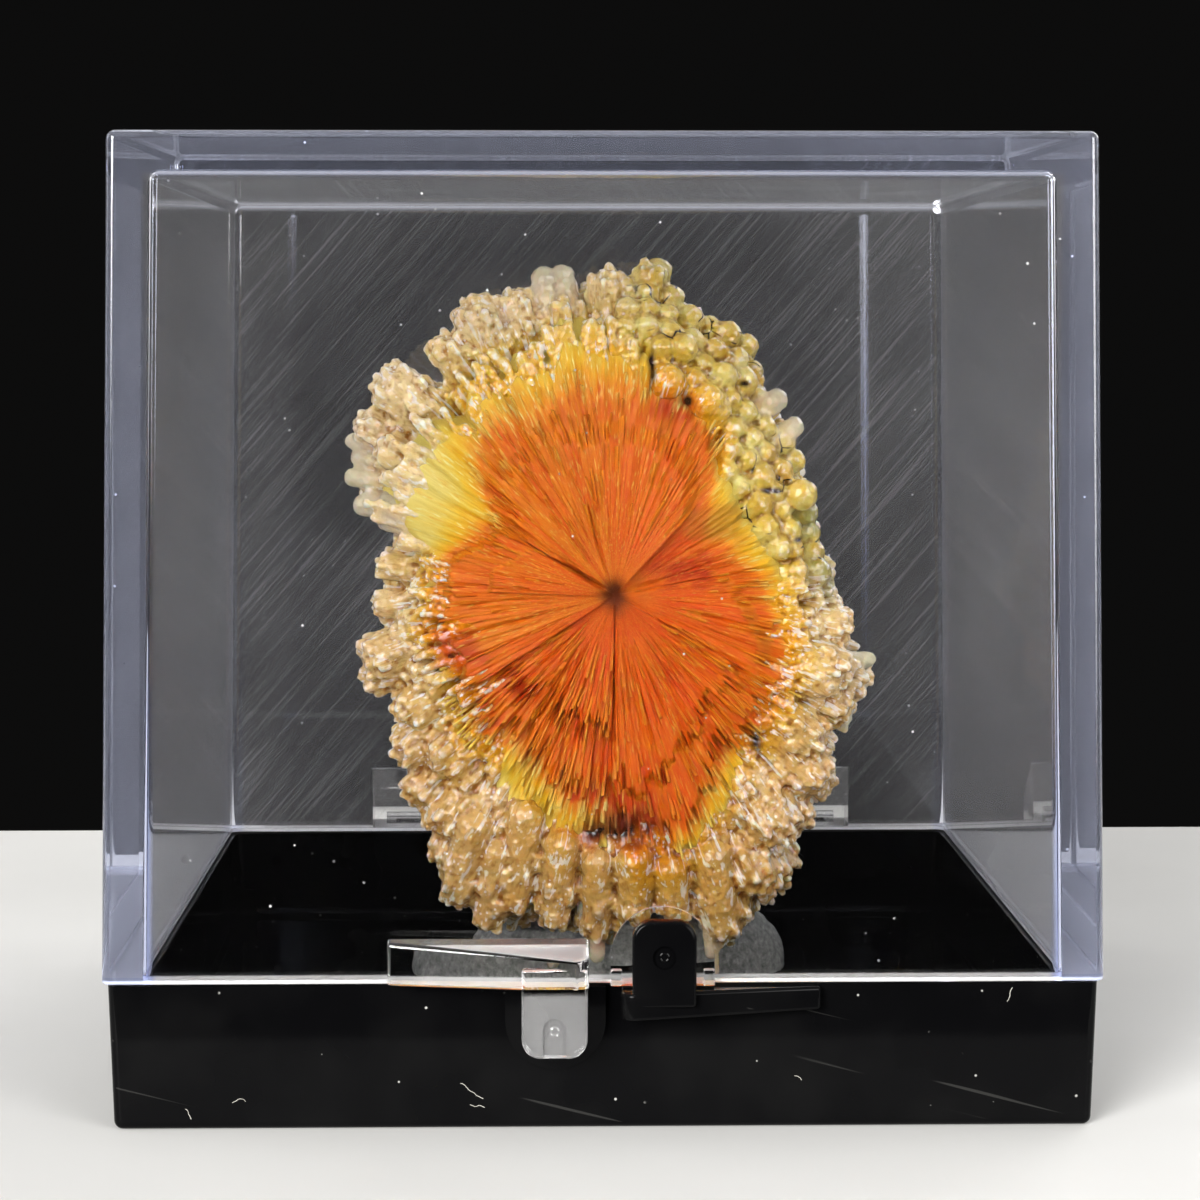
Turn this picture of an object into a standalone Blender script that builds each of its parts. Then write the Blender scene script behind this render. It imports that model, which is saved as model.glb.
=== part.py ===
"""Scolecite specimen, set in putty in a small hinged display box.

The script works in millimetres and writes metres, with +Z up. The origin is the
centre of the base's underside. The latch faces -Y and the hinge is at the back.
"""
import math
import random

import bmesh
import bpy
from mathutils import Matrix, Vector

MM = 0.001

# Box
LID_HALF = 16.0            # half of the lid's width and depth at its rim
LID_TOP = 31.75
LID_RIM = 4.77
LID_WALL = 1.2
LID_DRAFT = 0.0165         # each side leans in by this much per unit of height
BASE_TOP = 4.70
BASE_HALF = 15.83          # half of the base's width and depth at its top
BASE_WALL = 1.2
BASE_DRAFT = 0.0272
FLOOR = 1.3
EDGE_ROUND = 0.28
INSIDE_ROUND = 0.35
OVERLAP = 0.5              # how far a joined solid runs into its neighbour
SHARP_ANGLE = math.radians(30)

# Latch
TAB_THIN_X = 6.9
TAB_THICK_X = 0.5
TAB_THIN = 0.25
TAB_THICK = 1.3
TAB_CORNER = 0.45
TAB_ROUND = 0.12
LID_TAB_HEIGHT = 1.45
LID_TAB_SLOPE = 0.35
BASE_TAB_HEIGHT = 0.9
PRONG_INNER = 0.65
PRONG_OUTER = 1.28
LID_PRONG_X = (-2.63, -0.55)
LID_PRONG_LOW = 2.62
BASE_PRONG_X = (0.86, 2.88)
BASE_PRONG_HIGH = 7.0
PRONG_ROUND = 0.6
RECESS_WIDTH = 0.74
RECESS_DEPTH = 0.14
BOSS_THICK = 0.36
BOSS_THIN = 0.12
LID_BOSS_X = (0.19, 3.50)
LID_BOSS_HEIGHT = 2.5
BASE_BOSS_X = (-3.16, 0.04)
BASE_BOSS_HEIGHT = 2.7
STOP_SIZE = (0.36, 0.34, 0.55)

# Hinge
HINGE_Y = 17.35
HINGE_Z = 4.75
EAR_SPANS = ((-9.0, -6.15), (8.05, 10.9))
EAR_RADIUS = 1.3
EAR_HEIGHT = 2.5
LUG_SPANS = ((-6.0, -3.8), (5.7, 7.9))
LUG_RADIUS = 1.15
LUG_FOOT = 1.55
PIN_RADIUS = 0.5
PIN_LENGTH = 2.05
HOLE_RADIUS = 0.6
HOLE_DEPTH = 2.3

# Specimen: the crystals radiate from CENTRE, and angles run from +X towards +Z
CENTRE = Vector((0.64, 0.3, 16.1))
FAN_FRONT = -3.0           # y of the broken orange face
CRUST_FRONT = -1.9         # y of the face outside its orange part
OUTLINE = (
    (0, 8.5), (10, 8.2), (20, 8.1), (30, 8.4), (40, 8.9), (50, 9.2), (57, 9.9), (63, 10.8),
    (70, 10.7), (77, 11.2), (82, 12.0), (88, 11.6), (96, 11.5), (101, 12.0), (105, 10.8),
    (112, 11.2), (118, 10.6), (124, 10.7), (130, 9.9), (137, 11.0), (144, 10.8), (155, 10.5),
    (161, 10.2), (166, 8.8), (172, 7.9), (180, 8.6), (190, 8.5), (196, 9.7), (201, 9.9),
    (208, 9.2), (214, 8.9), (220, 9.9), (226, 11.0), (232, 11.0), (238, 12.0), (243, 13.0),
    (250, 13.7), (259, 13.3), (265, 13.0), (269, 13.9), (274, 12.7), (280, 13.2), (285, 14.6),
    (289, 14.3), (294, 13.7), (300, 13.4), (306, 12.3), (313, 11.2), (319, 11.3), (326, 10.1),
    (333, 10.3), (342, 10.3), (350, 9.1),
)
FAN_EDGE = (
    (0, 5.6), (20, 5.0), (40, 4.6), (51, 5.8), (64, 6.9), (80, 7.2), (94, 7.4), (108, 7.2),
    (122, 7.3), (135, 6.6), (147, 4.9), (159, 5.4), (170, 6.4), (183, 6.3), (191, 6.9),
    (203, 6.2), (222, 6.9), (239, 6.6), (255, 7.4), (263, 7.6), (269, 7.4), (275, 9.3),
    (284, 9.1), (294, 8.1), (305, 7.0), (315, 7.1), (329, 7.0), (345, 6.2),
)
FAN_SECTORS = (            # start angle, how far the sector stands forward
    (-30, -0.16), (10, -0.36), (47, 0.10), (104, 0.04), (149, 0.24), (178, 0.14), (213, 0.02),
    (262, 0.06), (270, 0.14), (300, 0.06),
)
PROFILE = (                # share of the outline and depth, from the broken face round to the back
    (0.80, -1.7), (0.87, -1.45), (0.94, -0.8), (1.0, 0.1), (0.97, 1.5), (0.88, 2.9), (0.75, 4.1),
    (0.58, 5.0), (0.38, 5.6), (0.17, 6.0), (0.02, 6.1),
)
CORE = (                   # share of the outline, y
    (0.0, -2.3), (0.66, -2.3), (0.78, -2.0), (0.88, -1.2), (0.94, 0.2), (0.91, 1.5), (0.81, 2.9),
    (0.67, 4.1), (0.48, 5.0), (0.24, 5.6), (0.0, 5.8),
)
MEAN_RADIUS = 10.5         # of the outline
FINGER_PITCH = 1.3
FINGER_LENGTH = 2.2
BALL_SECTOR = (4, 88)      # angles where the crust is a cluster of round balls
BALL_PITCH = 1.05
SMOOTH_SECTOR = (92, 164)  # angles where the face runs out to the rim with no fingers on it
PODS = (                   # single fingers: inner end, outer end, radius
    ((-1.6, -0.9, 25.9), (-1.87, -0.7, 27.35), 0.46),
    ((-0.95, -0.7, 25.9), (-1.18, -0.5, 27.45), 0.44),
    ((8.6, -0.4, 13.6), (10.0, -0.3, 13.5), 0.34),
    ((8.3, -0.2, 12.6), (9.65, 0.0, 12.3), 0.36),
    ((8.0, -0.4, 11.9), (9.1, -0.2, 11.4), 0.38),
    ((-6.2, -1.5, 18.6), (-7.25, -1.4, 19.0), 0.74),
    ((-7.0, -1.2, 19.2), (-8.35, -1.0, 19.2), 0.42),
    ((-7.4, -1.0, 20.1), (-8.75, -0.8, 20.2), 0.36),
    ((-7.4, -0.8, 20.8), (-8.55, -0.6, 20.9), 0.34),
    ((-7.4, -0.6, 21.3), (-8.75, -0.4, 21.5), 0.35),
    ((5.6, -0.7, 22.3), (6.55, -0.6, 23.0), 0.44),
    ((6.3, -0.6, 21.5), (7.2, -0.5, 22.0), 0.40),
    ((0.1, -1.4, 4.2), (0.05, -1.2, 2.75), 0.34),
    ((4.1, -1.5, 4.0), (4.25, -1.2, 2.2), 0.34),
)
ARCHES = (                 # tall lobes along the bottom: upper end, lower end, radius
    ((0.05, -2.2, 6.30), (0.02, -1.6, 4.0), 0.58),
    ((1.38, -2.4, 6.42), (1.45, -1.7, 4.1), 0.70),
    ((2.66, -2.2, 6.00), (2.90, -1.6, 3.9), 0.64),
    ((-1.27, -2.1, 6.95), (-1.50, -1.5, 4.4), 0.66),
    ((-2.56, -2.0, 7.95), (-3.00, -1.5, 5.0), 0.70),
    ((-3.60, -1.8, 6.60), (-3.90, -1.3, 4.3), 0.60),
    ((-4.43, -1.9, 7.60), (-5.00, -1.3, 5.3), 0.72),
    ((4.20, -1.9, 6.50), (4.60, -1.4, 4.0), 0.75),
)
LOBES = (                  # bundles of fingers: place of the outer end, radius
    (-7.0, -1.2, 23.3, 1.05), (-8.0, -0.9, 22.0, 0.70), (-7.2, -1.5, 21.1, 0.75),
    (-5.3, -1.1, 24.7, 0.75), (-4.1, -1.1, 25.8, 1.05), (-2.8, -0.9, 26.2, 0.85),
    (0.5, -0.8, 27.2, 0.80), (1.9, -0.6, 27.6, 0.75),
    (-7.3, -0.9, 17.0, 0.60), (-7.5, -0.8, 15.6, 0.60),
    (-7.5, -1.2, 13.8, 1.10), (-6.5, -1.5, 14.9, 0.80), (-7.9, -0.9, 13.0, 0.65),
    (-6.4, -1.4, 12.0, 0.95), (-6.5, -1.1, 10.5, 0.90), (-6.2, -1.0, 9.0, 0.85),
    (-5.3, -1.6, 10.2, 0.90), (-5.3, -1.3, 8.0, 0.95), (-5.3, -0.9, 6.7, 0.80),
    (8.0, -1.6, 13.3, 1.25), (8.6, -1.0, 11.9, 0.70), (8.6, -1.0, 14.9, 0.75),
    (7.3, -1.7, 11.0, 1.10), (7.5, -1.4, 9.6, 1.05), (6.3, -1.7, 8.0, 1.20),
    (7.2, -1.0, 8.0, 0.80), (5.7, -1.4, 6.0, 1.00), (5.0, -1.0, 4.6, 0.75),
)
LOBE_LENGTH = 1.6
VOXEL = 0.26
SPECIMEN_TRIANGLES = 6400

# Putty
PUTTY_CENTRE = (1.25, 3.5)
PUTTY_SIZE = (6.0, 3.7, 3.9)
PUTTY_LIFT = 0.1
PUTTY_GAP = 0.12
PUTTY_ROUGHNESS = 0.035


def new_material(name, colour, roughness, transmission=0.0, ior=1.5):
    """Return a Principled material."""
    material = bpy.data.materials.new(name)
    material.use_nodes = True
    shader = material.node_tree.nodes["Principled BSDF"]
    shader.inputs["Base Color"].default_value = (*colour, 1.0)
    shader.inputs["Roughness"].default_value = roughness
    shader.inputs["Metallic"].default_value = 0.0
    shader.inputs["Transmission Weight"].default_value = transmission
    shader.inputs["IOR"].default_value = ior
    return material


def new_object(name, bm, material=None, origin=(0.0, 0.0, 0.0)):
    """Turn a bmesh drawn in millimetres into an object in metres."""
    bmesh.ops.recalc_face_normals(bm, faces=bm.faces)
    bmesh.ops.translate(bm, vec=-Vector(origin), verts=bm.verts)
    bmesh.ops.scale(bm, vec=(MM, MM, MM), verts=bm.verts)
    mesh = bpy.data.meshes.new(name)
    bm.to_mesh(mesh)
    bm.free()
    obj = bpy.data.objects.new(name, mesh)
    obj.location = Vector(origin) * MM
    bpy.context.scene.collection.objects.link(obj)
    if material:
        mesh.materials.append(material)
    return obj


def combine(target, operation, name, bm):
    """Join a solid to the target, or cut it away, with a Boolean modifier."""
    origin = target.location / MM
    tool = new_object(name, bm, origin=origin)
    tool.parent = target
    tool.matrix_parent_inverse = Matrix.Translation(-target.location)
    tool.hide_render = True
    tool.display_type = "WIRE"
    modifier = target.modifiers.new(name, "BOOLEAN")
    modifier.operation = operation
    modifier.solver = "EXACT"
    modifier.object = tool
    return tool


def lofted(front, back):
    """Return a closed solid between two outlines that have as many points."""
    bm = bmesh.new()
    first = [bm.verts.new(point) for point in front]
    second = [bm.verts.new(point) for point in back]
    bm.faces.new(first)
    bm.faces.new(reversed(second))
    for i, vert in enumerate(first):
        j = (i + 1) % len(first)
        bm.faces.new((vert, second[i], second[j], first[j]))
    bmesh.ops.recalc_face_normals(bm, faces=bm.faces)
    return bm


def box(low, high):
    """Return a rectangular block."""
    corners = [(low[0], low[1]), (high[0], low[1]), (high[0], high[1]), (low[0], high[1])]
    return lofted([(x, y, low[2]) for x, y in corners], [(x, y, high[2]) for x, y in corners])


def tapered_block(half_low, half_high, z_low, z_high, radius, open_z):
    """Return a square block with sloping sides, rounded except at its open end."""
    bm = lofted(
        [(x * half_low, y * half_low, z_low) for x, y in ((-1, -1), (1, -1), (1, 1), (-1, 1))],
        [(x * half_high, y * half_high, z_high) for x, y in ((-1, -1), (1, -1), (1, 1), (-1, 1))],
    )
    edges = [e for e in bm.edges if any(abs(v.co.z - open_z) > 1e-6 for v in e.verts)]
    bmesh.ops.bevel(bm, geom=edges, offset=radius, segments=3, profile=0.5, affect="EDGES")
    return bm


def arc(centre, radius, start, end, steps):
    """Return points on an arc, with the angles in degrees."""
    points = []
    for i in range(steps + 1):
        angle = math.radians(start + (end - start) * i / steps)
        points.append((centre[0] + radius * math.cos(angle), centre[1] + radius * math.sin(angle)))
    return points


def side_plate(profile, span):
    """Extrude a profile in the YZ plane along X."""
    return lofted([(span[0], y, z) for y, z in profile], [(span[1], y, z) for y, z in profile])


def front_plate(outline, back_y, front_y):
    """Extrude an outline in the XZ plane between two depths, each a function of z."""
    back = [(x, back_y(z), z) for x, z in outline]
    front = [(x, front_y(z), z) for x, z in outline]
    return lofted(front, back)


def rod(span, radius, sides=24):
    """Return a cylinder along X, on the hinge's axis."""
    return side_plate(arc((HINGE_Y, HINGE_Z), radius, 0, 360 - 360 / sides, sides - 1), span)


def round_edges(bm, radius):
    """Round the sharp edges of a small solid."""
    sharp = [edge for edge in bm.edges if edge.calc_face_angle(0.0) > SHARP_ANGLE]
    bmesh.ops.bevel(bm, geom=sharp, offset=radius, segments=2, profile=0.5, affect="EDGES")
    return bm


def thumb_tab(side, wall_y, low, high):
    """Return a tab whose plan is a wedge; side is -1 for the left one and 1 for the right one."""
    corner = (-side * (TAB_THICK_X + TAB_CORNER), -wall_y - TAB_THICK + TAB_CORNER)
    turn = arc((abs(corner[0]), corner[1]), TAB_CORNER, 180, 270, 5)
    plan = [(TAB_THICK_X, OVERLAP - wall_y)] + turn
    plan += [(TAB_THIN_X, -wall_y - TAB_THIN), (TAB_THIN_X, OVERLAP - wall_y)]
    bottom = [(side * x, y, low(x, -wall_y - y)) for x, y in plan]
    top = [(side * x, y, high(x, -wall_y - y)) for x, y in plan]
    return round_edges(lofted(bottom, top), TAB_ROUND)


def prong(span, root_z, tip_z, wall_y):
    """Return a flat prong with a rounded tip."""
    direction = 1 if tip_z > root_z else -1
    turn_z = tip_z - direction * PRONG_ROUND
    right = arc((span[1] - PRONG_ROUND, turn_z), PRONG_ROUND, 0, 90 * direction, 5)
    left = arc((span[0] + PRONG_ROUND, turn_z), PRONG_ROUND, 90 * direction, 180 * direction, 5)
    outline = [(span[0], root_z), (span[1], root_z)] + right + left
    solid = front_plate(outline, lambda z: -wall_y - PRONG_INNER, lambda z: -wall_y - PRONG_OUTER)
    return round_edges(solid, TAB_ROUND)


def recess(centre_x, start_z, end_z, wall_y):
    """Return the cutter of a shallow recess with a round end at end_z."""
    half = RECESS_WIDTH / 2
    direction = 1 if end_z > start_z else -1
    turn = arc((centre_x, end_z - direction * half), half, 0, 180 * direction, 10)
    outline = [(centre_x - half, start_z), (centre_x + half, start_z)] + turn
    face = -wall_y - PRONG_OUTER
    return front_plate(outline, lambda z: face + RECESS_DEPTH, lambda z: face - OVERLAP)


def boss(span, rim_z, height, direction, wall_y):
    """Return an arch-shaped wedge, thickest at the rim, that fades into the wall."""
    half = (span[1] - span[0]) / 2
    centre_x = span[0] + half
    straight = height - half
    turn = arc((centre_x, direction * straight), half, 0, 180 * direction, 12)
    outline = [(span[0], 0.0), (span[1], 0.0)] + turn
    outline = [(x, rim_z + z) for x, z in outline]

    def face(z):
        share = abs(z - rim_z) / height
        return -wall_y - BOSS_THICK - (BOSS_THIN - BOSS_THICK) * share

    return front_plate(outline, lambda z: OVERLAP - wall_y, face)


def ear_profile():
    """Return the side view of a lid ear: a barrel on the axis and a gusset up the wall."""
    wall_y = LID_HALF - OVERLAP
    barrel = arc((HINGE_Y, HINGE_Z), EAR_RADIUS, 180, 420, 20)
    top = LID_RIM + EAR_HEIGHT
    return [(wall_y, LID_RIM + 0.02)] + barrel + [(LID_HALF + 0.35, top), (wall_y, top)]


def lug_profile():
    """Return the side view of a base lug: a barrel on the axis and a foot down the wall."""
    wall_y = BASE_HALF - OVERLAP
    barrel = arc((HINGE_Y, HINGE_Z), LUG_RADIUS, -30, 200, 18)
    return [(wall_y, LUG_FOOT), (BASE_HALF, LUG_FOOT)] + barrel + [(wall_y, LID_RIM - 0.45)]


def outward(span):
    """Return 1 for a span right of the middle and -1 for one left of it."""
    return 1 if span[0] + span[1] > 0 else -1


def outer_end(span):
    """Return the end of a span that is further from the middle."""
    return span[1] if outward(span) > 0 else span[0]


def inner_end(span):
    """Return the end of a span that is nearer to the middle."""
    return span[0] if outward(span) > 0 else span[1]


def build_base():
    """Make the black tray with its thumb tab, prong, boss, hinge lugs and pins."""
    material = new_material("black_plastic", (0.012, 0.012, 0.013), 0.12)
    foot_half = BASE_HALF - BASE_TOP * BASE_DRAFT
    solid = tapered_block(foot_half, BASE_HALF, 0.0, BASE_TOP, EDGE_ROUND, BASE_TOP)
    base = new_object("base", solid, material)

    above = BASE_TOP + 1.0
    low_half = foot_half + FLOOR * BASE_DRAFT - BASE_WALL
    high_half = BASE_HALF + (above - BASE_TOP) * BASE_DRAFT - BASE_WALL
    pocket = tapered_block(low_half, high_half, FLOOR, above, INSIDE_ROUND, above)
    combine(base, "DIFFERENCE", "base_pocket", pocket)

    tab = thumb_tab(1, LID_HALF, lambda x, out: BASE_TOP - BASE_TAB_HEIGHT + 0.02 * x,
                    lambda x, out: BASE_TOP)
    combine(base, "UNION", "base_tab", tab)
    root = BASE_TOP - BASE_TAB_HEIGHT / 2
    combine(base, "UNION", "base_prong", prong(BASE_PRONG_X, root, BASE_PRONG_HIGH, LID_HALF))
    middle = sum(BASE_PRONG_X) / 2
    dimple = [(x, z) for x, z in arc((middle, 5.85), RECESS_WIDTH / 2, 0, 345, 23)]
    face = -LID_HALF - PRONG_OUTER
    cutter = front_plate(dimple, lambda z: face + RECESS_DEPTH, lambda z: face - OVERLAP)
    combine(base, "DIFFERENCE", "base_prong_dimple", cutter)
    arch = boss(BASE_BOSS_X, BASE_TOP, BASE_BOSS_HEIGHT, -1, BASE_HALF)
    combine(base, "UNION", "base_boss", arch)

    for number, span in enumerate(LUG_SPANS, start=1):
        combine(base, "UNION", f"base_lug_{number}", side_plate(lug_profile(), span))
        start = outer_end(span)
        ends = sorted((start - outward(span) * OVERLAP, start + outward(span) * PIN_LENGTH))
        combine(base, "UNION", f"base_pin_{number}", rod(ends, PIN_RADIUS))
    return base


def build_lid():
    """Make the clear lid with its thumb tab, prong, boss, stops and hinge ears."""
    material = new_material("clear_plastic", (0.96, 0.97, 0.98), 0.02, transmission=1.0, ior=1.59)
    top_half = LID_HALF - (LID_TOP - LID_RIM) * LID_DRAFT
    solid = tapered_block(LID_HALF, top_half, LID_RIM, LID_TOP, EDGE_ROUND, LID_RIM)
    lid = new_object("lid", solid, material, origin=(0.0, HINGE_Y, HINGE_Z))

    below = LID_RIM - 1.0
    low_half = LID_HALF + LID_DRAFT - LID_WALL
    cavity = tapered_block(low_half, top_half - LID_WALL, below, LID_TOP - LID_WALL,
                           INSIDE_ROUND, below)
    combine(lid, "DIFFERENCE", "lid_cavity", cavity)

    tab = thumb_tab(-1, LID_HALF, lambda x, out: LID_RIM,
                    lambda x, out: LID_RIM + LID_TAB_HEIGHT - LID_TAB_SLOPE * out)
    combine(lid, "UNION", "lid_tab", tab)
    root = LID_RIM + LID_TAB_HEIGHT / 2
    combine(lid, "UNION", "lid_prong", prong(LID_PRONG_X, root, LID_PRONG_LOW, LID_HALF))
    middle = sum(LID_PRONG_X) / 2
    groove = recess(middle, LID_PRONG_LOW - 0.2, LID_PRONG_LOW + 1.3, LID_HALF)
    combine(lid, "DIFFERENCE", "lid_prong_recess", groove)
    arch = boss(LID_BOSS_X, LID_RIM, LID_BOSS_HEIGHT, 1, LID_HALF)
    combine(lid, "UNION", "lid_boss", arch)
    for number, x in enumerate((LID_BOSS_X[0], LID_BOSS_X[1] - STOP_SIZE[0]), start=1):
        stop = box((x, -LID_HALF - BOSS_THICK - 0.1, LID_RIM),
                   (x + STOP_SIZE[0], OVERLAP - LID_HALF, LID_RIM + STOP_SIZE[2]))
        combine(lid, "UNION", f"lid_stop_{number}", stop)

    for number, span in enumerate(EAR_SPANS, start=1):
        combine(lid, "UNION", f"lid_ear_{number}", side_plate(ear_profile(), span))
        start = inner_end(span)
        ends = sorted((start - outward(span) * OVERLAP, start + outward(span) * HOLE_DEPTH))
        combine(lid, "DIFFERENCE", f"lid_ear_hole_{number}", rod(ends, HOLE_RADIUS))
    return lid


def radius_at(table, angle):
    """Read a table of angles and radii, which closes on itself, at any angle."""
    angle %= 360
    for (start, first), (end, second) in zip(table, table[1:] + ((360, table[0][1]),)):
        if start <= angle <= end:
            return first + (second - first) * (angle - start) / (end - start)
    return table[0][1]


def polar(angle, radius, y):
    """Return a point at an angle and distance from the radiating centre."""
    turn = math.radians(angle)
    return Vector((CENTRE.x + radius * math.cos(turn), y, CENTRE.z + radius * math.sin(turn)))


def add_finger(bm, start, end, start_radius, end_radius, detail=2):
    """Add a tapered finger with round ends."""
    axis = (end - start).normalized()
    frame = axis.to_track_quat("Z", "Y").to_matrix()
    ball = bmesh.ops.create_icosphere(bm, subdivisions=detail, radius=1.0)["verts"]
    for vert in ball:
        direction = vert.co.copy()
        middle, radius = (end, end_radius) if direction.z > 0 else (start, start_radius)
        vert.co = middle + frame @ direction * radius


def add_core(bm, steps=72):
    """Add the body that the fingers grow from."""
    rings = []
    for share, y in CORE[1:-1]:
        rings.append([bm.verts.new(polar(a * 360 / steps, share * radius_at(OUTLINE, a * 360 / steps), y))
                      for a in range(steps)])
    front = bm.verts.new(polar(0, 0, CORE[0][1]))
    back = bm.verts.new(polar(0, 0, CORE[-1][1]))
    for i in range(steps):
        j = (i + 1) % steps
        bm.faces.new((front, rings[0][i], rings[0][j]))
        bm.faces.new((back, rings[-1][j], rings[-1][i]))
        for near, far in zip(rings, rings[1:]):
            bm.faces.new((near[i], far[i], far[j], near[j]))


def sector_step(angle):
    """Return how far the sector at an angle stands forward."""
    angle = (angle - FAN_SECTORS[0][0]) % 360 + FAN_SECTORS[0][0]
    return [step for start, step in FAN_SECTORS if start <= angle][-1]


def add_fan(bm, rng, steps=144):
    """Add the broken face: sectors of needles at different levels, with a jagged edge."""
    shares = (0.12, 0.4, 0.7, 0.9, 1.0)
    front = bm.verts.new(polar(0, 0, FAN_FRONT + 0.35))
    back = bm.verts.new(polar(0, 0, CRUST_FRONT + 1.5))
    columns = []
    for i in range(steps):
        angle = i * 360 / steps
        edge = radius_at(FAN_EDGE, angle) * rng.uniform(0.95, 1.04)
        step = sector_step(angle) + rng.uniform(-0.07, 0.07)
        column = []
        for share in shares:
            level = FAN_FRONT - step * min(1.0, 2.0 * share) + 0.5 * share ** 3
            column.append(bm.verts.new(polar(angle, edge * share, level)))
        column.append(bm.verts.new(polar(angle, edge * 0.96, CRUST_FRONT + 1.5)))
        columns.append(column)
    for i, column in enumerate(columns):
        other = columns[(i + 1) % steps]
        bm.faces.new((front, column[0], other[0]))
        bm.faces.new((back, other[-1], column[-1]))
        for k in range(len(column) - 1):
            bm.faces.new((column[k], column[k + 1], other[k + 1], other[k]))


def in_sector(angle, sector):
    """Tell whether an angle is inside a sector."""
    return sector[0] <= angle % 360 <= sector[1]


def profile_at(place):
    """Return the share of the outline and the depth some way along the profile."""
    for (share, y), (next_share, next_y) in zip(PROFILE, PROFILE[1:]):
        length = math.hypot((next_share - share) * MEAN_RADIUS, next_y - y)
        if place <= length:
            part = place / length
            return share + (next_share - share) * part, y + (next_y - y) * part
        place -= length
    return None


def skin_points(rng, pitch):
    """Return angles, distances and depths spread evenly over the flanks and the back."""
    points = []
    place = 0.0
    while profile_at(place):
        share, y = profile_at(place)
        count = max(3, round(share * MEAN_RADIUS * math.tau / pitch))
        offset = rng.uniform(0, 360)
        for i in range(count):
            angle = offset + (i + rng.uniform(-0.3, 0.3)) * 360 / count
            points.append((angle, share * radius_at(OUTLINE, angle), y + rng.uniform(-0.15, 0.15)))
        place += pitch
    return points


def add_fingers(bm, rng):
    """Cover the flanks and the back with rounded fingers that radiate from the centre."""
    for angle, reach, y in skin_points(rng, FINGER_PITCH):
        if y < -1.3 and in_sector(angle, SMOOTH_SECTOR):
            continue
        if y < 0.3 and in_sector(angle, BALL_SECTOR):
            continue
        radius = rng.uniform(0.50, 0.68)
        tip = polar(angle, max(0.1, reach - radius + rng.uniform(-0.2, 0.1)), y)
        root = tip + (CENTRE - tip).normalized() * FINGER_LENGTH
        add_finger(bm, root, tip, radius * 0.85, radius)


def add_balls(bm, rng):
    """Pack the upper right with balls, from the orange face to the outline."""
    distance = 5.4
    while distance < 12.0:
        angle = BALL_SECTOR[0] + rng.uniform(0, 5)
        while angle < BALL_SECTOR[1]:
            inner = max(radius_at(FAN_EDGE, angle) + 0.5, 0.68 * radius_at(OUTLINE, angle))
            outer = radius_at(OUTLINE, angle) - 0.45
            share = (distance - inner) / (outer - inner)
            if 0 <= share <= 1:
                size = rng.uniform(0.48, 0.64)
                y = -2.0 + 0.9 * share + 1.5 * share ** 3
                middle = polar(angle, distance, y)
                add_finger(bm, CENTRE.lerp(middle, 0.8), middle, size * 0.6, size)
            angle += math.degrees(BALL_PITCH / distance) * rng.uniform(0.85, 1.15)
        distance += BALL_PITCH * 0.86


def add_lobes(bm):
    """Add the single fingers, the tall lobes and the bundles that stand out."""
    for start, end, radius in PODS + ARCHES:
        add_finger(bm, Vector(start), Vector(end), radius, radius)
    for x, y, z, radius in LOBES:
        tip = Vector((x, y, z))
        root = tip + (CENTRE - tip).normalized() * LOBE_LENGTH
        add_finger(bm, root, tip, radius * 0.85, radius)


def build_specimen(putty_shape):
    """Make the specimen as one closed solid, cut back where the putty holds it."""
    material = new_material("scolecite", (0.86, 0.42, 0.10), 0.45)
    bm = bmesh.new()
    add_core(bm)
    add_fan(bm, random.Random(31))
    add_fingers(bm, random.Random(32))
    add_balls(bm, random.Random(33))
    add_lobes(bm)
    specimen = new_object("specimen", bm, material)

    fuse = specimen.modifiers.new("fuse", "REMESH")
    fuse.mode = "VOXEL"
    fuse.voxel_size = VOXEL * MM
    soften = specimen.modifiers.new("soften", "SMOOTH")
    soften.factor = 0.5
    soften.iterations = 1
    depsgraph = bpy.context.evaluated_depsgraph_get()
    fused = specimen.evaluated_get(depsgraph).data
    faces = sum(len(polygon.vertices) - 2 for polygon in fused.polygons)
    reduce = specimen.modifiers.new("reduce", "DECIMATE")
    reduce.ratio = SPECIMEN_TRIANGLES / faces
    reduce.use_collapse_triangulate = True
    combine(specimen, "DIFFERENCE", "putty_clearance", putty_shape)
    return specimen


def putty_dome(growth, detail, roughness):
    """Return the putty's dome, grown by a gap on every side."""
    rng = random.Random(7)
    bm = bmesh.new()
    verts = bmesh.ops.create_icosphere(bm, subdivisions=detail, radius=1.0)["verts"]
    bottom = FLOOR + PUTTY_LIFT
    for vert in verts:
        swell = 1 + rng.uniform(-roughness, roughness)
        sides = [size * swell + growth for size in PUTTY_SIZE]
        vert.co = Vector((PUTTY_CENTRE[0] + vert.co.x * sides[0],
                          PUTTY_CENTRE[1] + vert.co.y * sides[1],
                          bottom + vert.co.z * sides[2]))
    cut = bmesh.ops.bisect_plane(bm, geom=bm.verts[:] + bm.edges[:] + bm.faces[:], dist=1e-5,
                                 plane_co=(0, 0, bottom - growth), plane_no=(0, 0, -1),
                                 clear_outer=True)
    edges = [part for part in cut["geom_cut"] if isinstance(part, bmesh.types.BMEdge)]
    bmesh.ops.holes_fill(bm, edges=edges, sides=0)
    return bm


def build_putty():
    """Make the lump of mounting putty that holds the specimen to the tray's floor."""
    material = new_material("grey_putty", (0.22, 0.22, 0.21), 0.9)
    return new_object("putty", putty_dome(0.0, 3, PUTTY_ROUGHNESS), material)


def main():
    """Clear the scene and build every piece."""
    for obj in list(bpy.data.objects):
        bpy.data.objects.remove(obj, do_unlink=True)
    build_base()
    build_lid()
    build_putty()
    build_specimen(putty_dome(PUTTY_GAP + PUTTY_SIZE[0] * PUTTY_ROUGHNESS, 3, 0.0))


main()
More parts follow.
